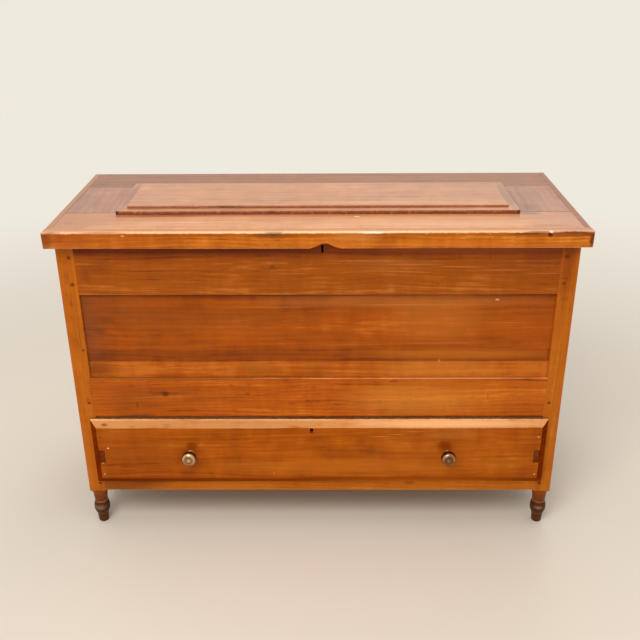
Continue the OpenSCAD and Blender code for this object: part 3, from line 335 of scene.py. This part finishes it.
# Panels
# Wide boards 9 mm thick, held loose in the grooves of rails and posts so that they can shrink.
# The front's is glued up from a wide board and a narrow lighter one below it.
panel_marks = [
    # A pale chip, and the dull left end with its stains
    ((443, 8, 679), (5, 20, 2.6), 0.95, "e8c49c"), ((-600, 8, 590), (75, 20, 140), 0.45, "74402a"),
    ((-530, 8, 626), (28, 20, 12), 0.45, "683414"), ((-548, 8, 595), (20, 20, 10), 0.4, "683414"),
    ((-535, 8, 528), (45, 20, 14), 0.3, "5c2c10"),
    # Pale lines of grain, small knots and stains between them
    ((256, 8, 666), (200, 20, 2.4), 0.4, "c87c3c"), ((90, 8, 555), (110, 20, 1.6), 0.35, "c47c3c"),
    ((330, 8, 560), (130, 20, 2.2), 0.45, "c87c3c"), ((465, 8, 616), (80, 20, 1.8), 0.35, "cc8444"),
    ((498, 8, 559), (14, 20, 8), 0.45, "7c2c08"), ((-120, 8, 660), (120, 20, 1.6), 0.35, "c47c3c"),
    ((-300, 8, 560), (60, 20, 5), 0.3, "7a3a0c"), ((262, 8, 540), (3, 20, 3), 0.5, "502808"),
    ((309, 8, 510), (3, 20, 5), 0.6, "d89c60"),
    # Broad lighter and darker stretches, and scuffs at the right end
    ((450, 8, 600), (250, 20, 110), 0.3, "b05410"), ((0, 8, 485), (40, 20, 30), 0.3, "8a480e"),
    ((-60, 8, 620), (60, 20, 10), 0.25, "7e3c10"), ((-160, 8, 590), (160, 20, 12), 0.25, "b25a14"),
    ((584, 8, 530), (5, 20, 20), 0.5, "5a2a0c"), ((584, 8, 461), (10, 20, 3), 0.6, "d8a878"),
    ((-540, 8, 665), (170, 20, 50), 0.3, "6e3a1c"), ((200, 8, 676), (420, 20, 24), 0.28, "c67c3c"),
    ((-340, 8, 630), (300, 20, 36), 0.45, "80400e"), ((290, 8, 625), (150, 20, 70), 0.3, "c8782c"),
    # Both sides of the glued joint, and the narrow board below it
    ((-330, 8, 528), (400, 20, 15), 0.4, "783608"), ((350, 8, 528), (280, 20, 18), 0.65, "c06c1a"),
    ((-560, 8, 485), (80, 20, 28), 0.4, "94500e"), ((-566, 8, 486), (46, 20, 20), 0.55, "7a3404"),
    ((-150, 8, 485), (60, 20, 28), 0.4, "94500e"), ((290, 8, 485), (180, 20, 28), 0.4, "dc8c34")
]
# The top of the panel is painted darker, as shadow under the top rail
panel_bands = ((463, 0.7), (507, 0.74), (510, 0.26), (530, 0.34), (552, 0.5), (640, 0.5), (676, 0.42),
               (696, 0.1))
# Wide pine boards under varnish: deep red-brown in slow, broad bands, with hardly any ring to see
front_panel_wood = wood("varnished_pine_of_front_panel", ("7a3402", "9a4804", "ac5206", "c66c1e"), seed=0.55,
                        ring=14, figure=(0.08, 0.45, 0.5, 0.45, 0.3, 0.5), marks=panel_marks,
                        bands=panel_bands)
eased("front_panel", front_panel_wood)
# The ends' and the back's panels: the same pine, duller and browner, because nobody polishes them
end_panel_wood = wood("varnished_pine_of_end_panels", ("6e3008", "8f460e", "a25214", "b66828"), along="Z",
                      seed=3.2, ring=13)
for name in ("left_panel", "right_panel"):
    eased(name, end_panel_wood)
back_panel_wood = wood("varnished_pine_of_back_panel", ("6a2e0c", "864212", "984e1c", "aa622c"), seed=3.9,
                       ring=14)
eased("back_panel", back_panel_wood)


# Pegs
# Riven oak pegs driven through posts and tenons and pared off flush. Their end grain drank the stain, so
# that they show as dark matt dots.
peg_wood = wood("stained_end_grain_of_oak_pegs", ("5a2a08", "6e3408", "7e3e0c", "8e4a12"), along="Y", ring=2,
                wear=0.0, roughness=(0.4, 0.6), gloss=0.03, flecks=0.0)
dress(frame["nodes"]["joint_pegs"], peg_wood)


# Chest floor, bearers, runners and guides
# Planed pine boards and battens inside the case, fixed to rails and posts and never varnished.
bare_colours = ("86623c", "a68052", "b98f60", "caa878")
bare_figure = (0.3, 0.5, 0.7, 0.5, 0.2, 0.4)
# Bare pine: matt and pale, greyed and browned with age, with its rings plain to see
bare_wood = wood("bare_planed_pine", bare_colours, seed=4.5, ring=6, worn="a8845a", wear=0.4,
                 figure=bare_figure, roughness=(0.55, 0.75), gloss=0.3)
bare_cross_wood = wood("bare_planed_pine_front_to_back", bare_colours, along="Y", seed=5.1, ring=6,
                       worn="a8845a", wear=0.4, figure=bare_figure, roughness=(0.55, 0.75), gloss=0.3)
eased("chest_floor", bare_wood)
for name in ("floor_bearers", "drawer_runners", "drawer_guides"):
    eased(name, bare_cross_wood)


# Lid
# A frame of two long rails and two end stiles, tongued together round a panel. Its varnish is thick and
# glossy, rubbed pale along the front by hands and sleeves, and greyer at the ends.

# The underside was never varnished and has gone an even brown
underside = ((0, 230, 843), (whole, whole, 12), 0.75, "9c683e")
lid_marks = [
    # Bare below, greyer at the ends, and a painted shadow of the raised field on the lid in front of it,
    # deepest at the left
    underside, ((-640, 60, 869), (170, 120, 60), 0.6, "a06c54"),
    ((-460, 70, 869), (170, 70, 30), 0.35, "b07858"), ((0, 94, 869), (480, 8, 30), 0.5, "c06c38"),
    ((-380, 94, 869), (165, 11, 30), 0.7, "984a24"), ((650, 60, 869), (170, 120, 60), 0.5, "aa786a"),
    # Scuffs and scratches at both ends, and a pale chip
    ((522, 106, 869), (34, 14, 30), 0.6, "5e4a44"), ((548, 12, 869), (60, 10, 30), 0.4, "7c5240"),
    ((-598, 43, 869), (26, 2.4, 30), 0.5, "7c4c34"), ((-443, 59, 869), (8, 3, 30), 0.5, "6a4630"),
    ((-590, 2, 869), (60, 2.5, 30), 0.4, "8a5a3c"), ((97, 84, 869), (9, 4, 30), 0.9, "f6e8d8"),
    # The middle is rubbed palest
    ((220, 50, 869), (250, 60, 30), 0.35, "dea068"), ((-100, 3, 869), (36, 5, 30), 0.4, "a09088")
]
lid_figure = (0.05, 0.5, 0.65, 0.45, 0.25, 0.5)
# Pine with its varnish rubbed thin: pale pinkish tan, glossy enough to mirror a window
lid_front_wood = wood("rubbed_pine_of_lid_front", ("b0704a", "c6885c", "d4986c", "e2b088"), seed=6.2, ring=12,
                      worn="e6bc90", wear=0.8, figure=lid_figure, roughness=(0.24, 0.34), gloss=0.5,
                      marks=lid_marks)
lid_back_marks = [
    # Bare below, and a dark spot near the left back corner
    underside, ((-599, 475, 869), (9, 9, 30), 0.5, "50342a")
]
# The same pine where the varnish is whole: brown and glossy
lid_back_wood = wood("varnished_pine_of_lid_back", ("6e3e24", "88502e", "965c38", "a66c46"), seed=6.9,
                     ring=12, worn="a87850", wear=0.4, figure=lid_figure, roughness=(0.22, 0.32), gloss=0.5,
                     marks=lid_back_marks)
stile_marks = [
    # Bare below, and dark old dirt in the joints round the stiles
    underside, ((0, 119, 869), (whole, 3, 30), 0.6, "5c3c2e"),
    ((0, 349, 869), (whole, 3, 30), 0.55, "64463a"), ((-630, 230, 869), (3, 150, 30), 0.75, "4c3020"),
    ((630, 230, 869), (2.5, 150, 30), 0.45, "6a4a3a"), ((505, 240, 869), (8, 120, 30), 0.35, "6a4c40")
]
# The same pine with a hazy, greyed varnish: mauve brown, with the grain from front to back
stile_wood = wood("greyed_pine_of_lid_stiles", ("865848", "9a6a56", "aa7862", "ba8a72"), along="Y", seed=7.3,
                  ring=12, worn="b49474", wear=0.2, figure=lid_figure, roughness=(0.24, 0.34), gloss=0.5,
                  marks=stile_marks)
eased("lid_front_rail", lid_front_wood)
eased("lid_back_rail", lid_back_wood)
eased("lid_panel", lid_back_wood)
for name in ("lid_left_stile", "lid_right_stile"):
    eased(name, stile_wood)


# Raised field of the lid
# Two thin boards, each smaller than the one below, glued on the lid; their front edges are dark with
# handled varnish and their tops are rubbed pale like the lid.
step_marks = [
    # The front edges of both boards, dark at their corners and at both ends
    ((0, 101, 872), (whole, 4, 8), 0.9, "6e3014"), ((0, 125, 881), (whole, 3.5, 5), 0.62, "8a4a28"),
    ((-500, 101, 873), (9, 8, 12), 0.9, "2e1408"), ((499, 101, 873), (8, 8, 12), 0.8, "32180c"),
    ((500, 227, 879), (3, 130, 9), 0.6, "5e3c2e"), ((476, 227, 885), (3, 110, 7), 0.6, "6a4434"),
    # Dark spots on the front edges
    ((-230, 125, 884), (40, 4, 6), 0.5, "4e2410"), ((-112, 101, 876), (14, 6, 6), 0.4, "4a1e0c"),
    # Rubbed and dull places on the top, and the paler top edges of the ends
    ((120, 150, 885), (200, 9, 30), 0.5, "e0a87c"), ((-420, 200, 885), (60, 120, 30), 0.3, "b0806c"),
    ((300, 320, 885), (260, 36, 30), 0.4, "a87c5c"), ((-489, 230, 879), (14, 150, 6), 0.9, "946852"),
    ((489, 230, 879), (13, 150, 6), 0.7, "906656"), ((440, 250, 885), (120, 90, 30), 0.35, "a87c64")
]
# Pine with rubbed varnish: tan on top with a soft gloss, and red-brown arrises
step_wood = wood("rubbed_pine_of_raised_field", ("a06846", "b87e5a", "c68c66", "d8a480"), seed=8.4, ring=14,
                 worn="a45c30", figure=lid_figure, roughness=(0.22, 0.32), gloss=0.5, marks=step_marks)
eased("lid_lower_step", step_wood)
eased("lid_upper_step", step_wood)


# Lid strips
# Strips of the posts' lighter wood nailed round the lid; the front one is heavy, rounded above and hollowed
# below for the hand. Its upper arris is worn pale and chipped, and its right end stained round a notch.
strip_marks = [
    # The face: darker above and at both ends, lighter below
    ((0, -33, 863), (whole, 30, 7), 0.45, "944408"), ((0, -33, 838), (whole, 30, 7), 0.2, "dc8438"),
    ((90, -33, 856), (70, 30, 12), 0.4, "d48c48"), ((-460, -33, 850), (200, 30, 26), 0.4, "a04c12"),
    ((-638, -33, 849), (20, 40, 30), 0.65, "6e3012"), ((-590, -33, 849), (70, 30, 30), 0.45, "96461a"),
    # A knot at the upper arris, stains, pale chips under the arris, and a pale lower arris
    ((-110, -33, 862), (56, 30, 9), 0.75, "74401a"), ((-102, -33, 866), (16, 30, 4.5), 0.75, "4a2a14"),
    ((-250, -33, 863), (40, 30, 4), 0.4, "8a4410"), ((60, -33, 845), (50, 30, 14), 0.3, "b05c24"),
    ((-455, -33, 861), (5, 30, 2.4), 0.6, "e8bc80"), ((490, -33, 864), (50, 30, 4), 0.75, "5c280c"),
    ((630, -33, 862), (14, 40, 4), 0.6, "6a300c"), ((643, -33, 850), (7, 40, 22), 0.8, "4a2010"),
    ((590, -33, 862), (60, 30, 9), 0.5, "8a4010"), ((256, -33, 864), (3, 30, 2), 0.55, "e8b878"),
    ((327, -33, 864), (3, 30, 2), 0.55, "e8b878"), ((403, -33, 864), (3, 30, 2), 0.55, "e8b878"),
    ((-640, -33, 846), (2.6, 30, 2.6), 0.9, "e0a858"), ((0, -15, 829), (700, 40, 1.6), 0.5, "e8a860"),
    # The top is rubbed like the lid, and the rounded arris is rubbed paler still, with a painted highlight
    # along it that is brightest in the middle
    ((0, -17, 871), (whole, 60, 4), 0.95, "c8906a"), ((-590, -17, 871), (130, 60, 4), 0.7, "bc8c72"),
    ((600, -17, 871), (130, 60, 4), 0.7, "b88a78"), ((0, -30, 868.6), (whole, 9, 3.2), 0.75, "f2c69a"),
    ((30, -31, 868.6), (360, 7, 3.0), 0.4, "ffdcb4"), ((-505, -31, 868.6), (64, 7, 3.4), 0.6, "a06030"),
    # The arris over the knot, a long chip, the stained notch and the dark ends
    ((-100, -32, 868.4), (30, 6, 3.4), 0.6, "7c5c44"), ((130, -33, 867.2), (34, 6, 2.6), 0.75, "fff0dc"),
    ((520, -32, 868.4), (40, 6, 3.4), 0.6, "5c3018"), ((544, -33, 862), (7, 30, 7), 0.9, "2c1408"),
    ((546, -31, 868), (6, 8, 3), 0.95, "fff0dc"), ((600, -31, 868.6), (64, 9, 4), 0.55, "9a6a50"),
    ((600, -33, 866.4), (64, 6, 2.6), 0.85, "6a3010"), ((-625, -32, 868.4), (26, 8, 3.6), 0.6, "7c4c2c")
]
# Maple under varnish, handled more than any other piece: bright orange with lively streaks and a pale arris
front_strip_wood = wood("varnished_maple_of_front_strip", ("9a4a06", "b8620f", "cc7018", "e29238"), seed=9.3,
                        ring=9, figure=(0.15, 0.6, 0.75, 0.6, 0.5, 0.7), worn="ecc090", wear=1.0,
                        roughness=(0.24, 0.36), flecks=0.5, marks=strip_marks)
eased("lid_front_strip", front_strip_wood, radius=0.0016)
end_strip_marks = [
    # Their tops are rubbed and greyed like the lid, the left one less
    ((0, 230, 870), (whole, whole, 4.5), 0.95, "9c7060"),
    ((-640, 230, 870), (60, whole, 4.5), 0.85, "b08466")
]
# The same maple, browner, since hands seldom reach the ends
end_strip_wood = wood("varnished_maple_of_end_strips", ("8e4a14", "a65e20", "b66a28", "ca8640"), along="Y",
                      seed=10.1, ring=9, worn="b89070", wear=0.7, marks=end_strip_marks)
for name in ("lid_left_strip", "lid_right_strip"):
    eased(name, end_strip_wood)


# Drawer
# A lipped front whose face is bevelled on four sides, dovetailed to bare sides; a housed back and a bottom
# in grooves. The front's varnish is polished by hands round the knobs, and the top bevel is rubbed pale and
# painted paler still, as lit from above; the end and bottom bevels are painted dark, as shaded.
drawer_marks = [
    # Broad darker and lighter stretches, and dark spots on the top bevel
    ((-470, -21, 240), (130, 20, 90), 0.3, "8e420c"), ((560, -21, 240), (30, 20, 90), 0.3, "8e420c"),
    ((250, -21, 240), (220, 20, 80), 0.2, "b86420"), ((-562, -15, 334), (10, 20, 4), 0.85, "5e3818"),
    ((-395, -15, 332), (12, 20, 5), 0.4, "8a5a30"),
    # Painted shade above the knobs, where they darken the reflection in the varnish, and a dark patch right
    # of the keyhole
    ((-335, -21, 272), (18, 20, 14), 0.65, "7c2c06"), ((332, -21, 273), (24, 20, 19), 0.75, "802c02"),
    ((85, -21, 312), (34, 20, 8), 0.3, "8a400a"), ((112, -21, 285), (16, 20, 16), 0.3, "7e3c0a"),
    ((137, -21, 256), (16, 20, 20), 0.45, "7e3c0a"),
    # Pale scratches, dark scratches, and pale and dark dents
    ((160, -21, 300), (28, 20, 1.8), 0.45, "d08c48"), ((205, -21, 307), (30, 20, 1.8), 0.45, "d08c48"),
    ((252, -21, 315), (30, 20, 1.8), 0.45, "d08c48"), ((421, -21, 289), (2.4, 20, 26), 0.4, "8c4410"),
    ((370, -21, 296), (2.2, 20, 14), 0.35, "8c4410"), ((-559, -21, 264), (3.2, 20, 3.2), 0.95, "f0c890"),
    ((-577, -21, 216), (2.6, 20, 2.6), 0.7, "e0a868"), ((-120, -21, 185), (3, 20, 3), 0.5, "d8a060"),
    ((430, -21, 186), (14, 20, 5), 0.4, "8c4a14"),
    # Lighter and darker stretches of the face, the top bevel painted pale as lit from above, and painted
    # shade along the lower edge of the face
    ((40, -21, 205), (440, 20, 30), 0.4, "cc7420"), ((-560, -21, 305), (60, 20, 30), 0.3, "8a400a"),
    ((350, -21, 306), (80, 20, 18), 0.2, "d08c44"), ((505, -21, 220), (90, 20, 15), 0.9, "b05c0a"),
    ((330, -15, 337), (300, 20, 14), 0.85, "f6ba82"), ((0, -21, 171), (whole, 8, 5), 0.5, "863a04"),
    ((-280, -15, 337), (340, 20, 14), 0.5, "c08048"),
    # Painted shade lies along the top edge, in the gap under the rail, and the side towards the inside is
    # bare
    ((0, 0, 347), (whole, 8, 5), 0.9, "4a1600"), ((0, 12, 247), (whole, 13, whole), 1.0, "a47c4e")
]
# Tones up the front: a little darker near the face's lower edge, and the top bevel painted far paler, as lit
# from above
drawer_bands = ((150, 0.42), (166, 0.42), (168, 0.4), (200, 0.46), (326, 0.46), (327.5, 0.88), (345, 0.88))
# Pine under varnish: red-brown and quiet like the front panel, its top bevel rubbed and painted to pale tan,
# as lit from above
drawer_face_wood = wood("varnished_pine_of_drawer_face", ("7c3402", "9c4a04", "ae5606", "bc6410", "d49256"),
                        seed=11.6, ring=14, figure=(0.06, 0.45, 0.6, 0.5, 0.25, 0.5), worn="f4cc9c", wear=1.0,
                        gloss=0.08, marks=drawer_marks, bands=drawer_bands)
drawer_face = eased("drawer_front", drawer_face_wood, radius=0.0018, shortest=0.2)
bevel_marks = [
    # The bottom bevel is a little lighter, most of all at the right
    ((0, -15, 158), (575, 30, 15), 0.75, "9c480a"), ((290, -15, 158), (330, 30, 15), 0.85, "b45c0e"),
    ((290, -10, 152), (330, 30, 4), 0.6, "cc741e")
]
# The end bevels and the bottom one face away from the light: this copy of the pine is painted dark and dull
# as their shade
shaded_bevel_wood = wood("pine_of_drawer_bevels_with_painted_shade", ("5c1c00", "702600", "7e2e00", "903c04"), seed=11.6,
                  ring=14, wear=0.0, gloss=0.0, roughness=(0.5, 0.6), marks=bevel_marks)
drawer_face.data.materials.append(shaded_bevel_wood)
# Faces that slope to the sides or down get the copy with the painted shade
slanted = 0.4
for face in drawer_face.data.polygons:
    if abs(face.normal.x) > slanted or face.normal.z < -slanted:
        face.material_index = 1
side_marks = [
    # The dovetails that show through the front are stained like it
    ((0, -18, 240), (whole, 8, 200), 1.0, "6c2a06")
]
# Bare pine: matt pale brown with fine rings
side_wood = wood("bare_pine_of_drawer_sides", ("7a5a38", "947048", "a47c4e", "b8946a"), along="Y", seed=12.4,
                 ring=7, worn="a8845a", wear=0.3, figure=bare_figure, roughness=(0.5, 0.7), gloss=0.05,
                 marks=side_marks)
for name in ("drawer_left_side", "drawer_right_side"):
    eased(name, side_wood)
for name in ("drawer_back", "drawer_bottom"):
    eased(name, bare_wood)


# Knobs
# Two round knobs of an old white brass, cast, turned and screwed on through the drawer front. Each is
# mottled where age has browned it and bright where fingers rub it.
def aged_metal(name, base, worn, roughness, grain=8):
    """Metal browned by age and rubbed brighter in clouds; grain is the size of the clouds in millimetres."""
    material = bpy.data.materials.new(name)
    material.use_nodes = True
    tree = material.node_tree
    shader = tree.nodes["Principled BSDF"]
    place = add(tree, "TexCoord").outputs["Object"]
    cloud = add(tree, "TexNoise", {"Vector": place, "Scale": 1000 / grain, "Detail": 4.0}).outputs["Fac"]
    colour = add(tree, "ValToRGB", {0: cloud}, stops=[(0.35, linear(base)), (0.65, linear(worn))]).outputs[0]
    tree.links.new(colour, shader.inputs["Base Color"])
    dull = add(tree, "MapRange", {"Value": cloud, "From Min": 0.3, "From Max": 0.7,
                                  "To Min": roughness[1], "To Max": roughness[0]}).outputs[0]
    tree.links.new(dull, shader.inputs["Roughness"])
    shader.inputs["Metallic"].default_value = 1.0
    return material


def lay_over(material, share, wax_and_sheen, blend="MIX"):
    """Lays a colour over a metal's own: old wax on the nails, and painted highlights and reflection on the
    knobs. share and the laid colour are each a value or the socket that feeds it.
    """
    tree = material.node_tree
    base = tree.nodes["Principled BSDF"].inputs["Base Color"]
    metal = base.links[0].from_socket
    waxed_and_sheened = add(tree, "Mix", {0: share, 6: metal, 7: wax_and_sheen}, data_type="RGBA", blend_type=blend).outputs[2]
    tree.links.new(waxed_and_sheened, base)


# The rims and the middles of the faces are painted bright as highlights, and a painted darker reflection lies
# browner between
painted_sheen_rings = ((0.0, "fff4e4"), (0.18, "ecd8c0"), (0.38, "92785e"), (0.62, "c2aa90"), (0.82, "fff0dc"),
             (0.95, "a08870"), (1.0, "6e5642"))
# White brass, cast and turned: a yellowish silver with soft reflections. The left knob is used more and is
# brighter.
for name, base, worn in (("left_knob", "ccb498", "f4e4cc"), ("right_knob", "987660", "ccaa90")):
    knob_metal = aged_metal("old_white_brass_of_" + name, base, worn, (0.20, 0.30), grain=12)
    tree = knob_metal.node_tree
    low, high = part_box(name)
    place = add(tree, "TexCoord").outputs["Object"]
    away = add(tree, "VectorMath", {0: place, 1: (low + high) / 2}, operation="SUBTRACT").outputs[0]
    across = add(tree, "VectorMath", {0: away, 1: (1, 0, 1)}, operation="MULTIPLY").outputs[0]
    radius = add(tree, "VectorMath", {0: across}, operation="LENGTH").outputs["Value"]
    share = add(tree, "Math", {0: radius, 1: (high.x - low.x) / 2}, operation="DIVIDE").outputs[0]
    wax_and_sheen = add(tree, "ValToRGB", {0: share}, stops=[(at, linear(c)) for at, c in painted_sheen_rings]).outputs[0]
    lay_over(knob_metal, 1.0, wax_and_sheen, blend="MULTIPLY")
    dress(frame["nodes"][name], knob_metal)


# Hinges, locks, screws and nuts
# Brass butt hinges let into the lid and the case, iron locks with sliding bolts behind both fronts, and the
# steel screws and nuts that hold hinges, locks and knobs.

# Brass that was never polished: dull olive brown with paler clouds
hinge_brass = aged_metal("browned_hinge_brass", "6e5426", "94763c", (0.3, 0.5))
for name in ("hinge_case_leaves", "hinge_lid_leaves"):
    dress(frame["nodes"][name], hinge_brass)
# Iron blackened in the fire: nearly black, with hardly a gleam
lock_iron = aged_metal("blackened_lock_iron", "1c1814", "2e2822", (0.5, 0.7))
for name in ("chest_lock", "drawer_lock", "lock_link_plate"):
    dress(frame["nodes"][name], lock_iron)
# Turned steel darkened by age: a warm dark grey with a low shine
old_steel = aged_metal("darkened_steel", "4a443e", "6e665c", (0.35, 0.55))
for name in ("hinge_pins", "hinge_case_screws", "hinge_lid_screws", "chest_lock_screws", "drawer_lock_screws",
             "chest_lock_bolt", "drawer_lock_bolt", "knob_nuts"):
    dress(frame["nodes"][name], old_steel)


# Nails
# Small steel nails set flush beside the drawer's dovetails and in the strips of the lid. Their clouds are
# drawn 3 mm wide, so that each head differs a little.

# Rust has turned the strips' heads a matt brown that hardly stands out from the wood
rusty_nail = aged_metal("rusty_steel_nail_heads", "7a4420", "a8683a", (0.6, 0.8), grain=3)
dress(frame["nodes"]["strip_nails"], rusty_nail)
# Polishing keeps the drawer's heads bright: small pale dots
rubbed_nail = aged_metal("rubbed_steel_nail_heads", "c09468", "e8c8a0", (0.4, 0.6), grain=3)
# The head at the upper left is hidden under dark wax, which covers this far from the nails' corner
wax_reach = 0.03
tree = rubbed_nail.node_tree
low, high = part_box("drawer_nails")
place = add(tree, "TexCoord").outputs["Object"]
away = add(tree, "VectorMath", {0: place, 1: (low.x, low.y, high.z)}, operation="SUBTRACT").outputs[0]
reach = add(tree, "VectorMath", {0: away}, operation="LENGTH").outputs["Value"]
hidden = add(tree, "Math", {0: reach, 1: wax_reach}, operation="LESS_THAN").outputs[0]
lay_over(rubbed_nail, hidden, linear("9a4a10"))
dress(frame["nodes"]["drawer_nails"], rubbed_nail)


# Floor and surround
# A plain pale floor that runs out into a pale surround, so that the chest stands alone.
half_floor = 30.0
bm = bmesh.new()
bmesh.ops.create_grid(bm, x_segments=1, y_segments=1, size=half_floor)
floor_mesh = bpy.data.meshes.new("floor")
bm.to_mesh(floor_mesh)
bm.free()
floor = bpy.data.objects.new("floor", floor_mesh)
bpy.context.scene.collection.objects.link(floor)
surround_colour = linear("efe9de")
# Matt paint: an even pale grey with soft shadows. From 1.1 m to 3.2 m off the chest the eye and the
# reflections come to meet the surround instead of the floor.
floor_paint = bpy.data.materials.new("pale_matt_floor_paint")
floor_paint.use_nodes = True
tree = floor_paint.node_tree
floor_shader = tree.nodes["Principled BSDF"]
floor_shader.inputs["Base Color"].default_value = linear("e2ddd4")
floor_shader.inputs["Roughness"].default_value = 0.8
place = add(tree, "TexCoord").outputs["Object"]
away = add(tree, "VectorMath", {0: place}, operation="LENGTH").outputs["Value"]
path = add(tree, "LightPath")
seen = add(tree, "Math", {0: path.outputs["Is Camera Ray"], 1: path.outputs["Is Glossy Ray"]},
           operation="MAXIMUM").outputs[0]
far = add(tree, "MapRange", {"Value": away, "From Min": 1.1, "From Max": 3.2},
          interpolation_type="SMOOTHSTEP").outputs[0]
share = add(tree, "Math", {0: far, 1: seen}, operation="MULTIPLY").outputs[0]
glow = add(tree, "Emission", {"Color": surround_colour}).outputs[0]
mixed = add(tree, "MixShader", {0: share, 1: floor_shader.outputs[0], 2: glow}).outputs[0]
tree.links.new(mixed, tree.nodes["Material Output"].inputs["Surface"])
dress(floor, floor_paint)

# The surround looks pale but lights the chest more dimly
world = bpy.data.worlds.new("pale_surround")
bpy.context.scene.world = world
world.use_nodes = True
tree = world.node_tree
path = add(tree, "LightPath")
seen = add(tree, "Math", {0: path.outputs["Is Camera Ray"], 1: path.outputs["Is Glossy Ray"]},
           operation="MAXIMUM").outputs[0]
seen = add(tree, "Math", {0: seen, 1: path.outputs["Is Transmission Ray"]}, operation="MAXIMUM").outputs[0]
dim = add(tree, "Background", {"Color": linear("fffaf2"), "Strength": 0.6}).outputs[0]
pale = add(tree, "Background", {"Color": surround_colour}).outputs[0]
mixed = add(tree, "MixShader", {0: seen, 1: dim, 2: pale}).outputs[0]
tree.links.new(mixed, tree.nodes["World Output"].inputs["Surface"])


# Lamps
# Soft square lamps aimed at the middle of the chest: the main one high in front, one overhead, and a weak
# one high behind. Places and sizes are in metres and powers in watts.
aim = Vector((0, 0, 0.45))
for name, place, size, power in (("main_lamp", (-0.8, -2.2, 2.9), 1.5, 58),
                                 ("overhead_lamp", (0.2, -0.2, 3.3), 2.0, 14),
                                 ("back_lamp", (0.9, 2.4, 3.2), 1.6, 22)):
    lamp = bpy.data.lights.new(name, "AREA")
    lamp.size = size
    lamp.energy = power
    lamp.color = linear("fff6ea")[:3]
    holder = bpy.data.objects.new(name, lamp)
    holder.location = place
    holder.rotation_euler = (aim - Vector(place)).to_track_quat("-Z", "Y").to_euler()
    bpy.context.scene.collection.objects.link(holder)


# Camera
# It stands where the photograph was taken from, fitted to 40 points of it. It looks down by pitch and to the
# left by yaw, and is tilted by roll. Its place is given from the middle, the posts' front and the floor.
camera = bpy.data.cameras.new("photo_camera")
camera.sensor_width = 36.0
camera.lens = 47.66
pitch, yaw, roll = math.radians(24.935), math.radians(-0.699), math.radians(0.402)
sideways, before, height = 0.0290, 1.9095, 1.5161
ahead = Vector((math.sin(yaw) * math.cos(pitch), math.cos(yaw) * math.cos(pitch), -math.sin(pitch)))
level = Vector((math.cos(yaw), -math.sin(yaw), 0))
below = ahead.cross(level)
right = math.cos(roll) * level + math.sin(roll) * below
up = math.sin(roll) * level - math.cos(roll) * below
turned = Matrix((right, up, -ahead)).transposed().to_4x4()
stand = bpy.data.objects.new("photo_camera", camera)
stand.matrix_world = Matrix.Translation((sideways, front_y - before, height)) @ turned
bpy.context.scene.collection.objects.link(stand)
bpy.context.scene.camera = stand
bpy.context.scene.view_settings.view_transform = "Standard"
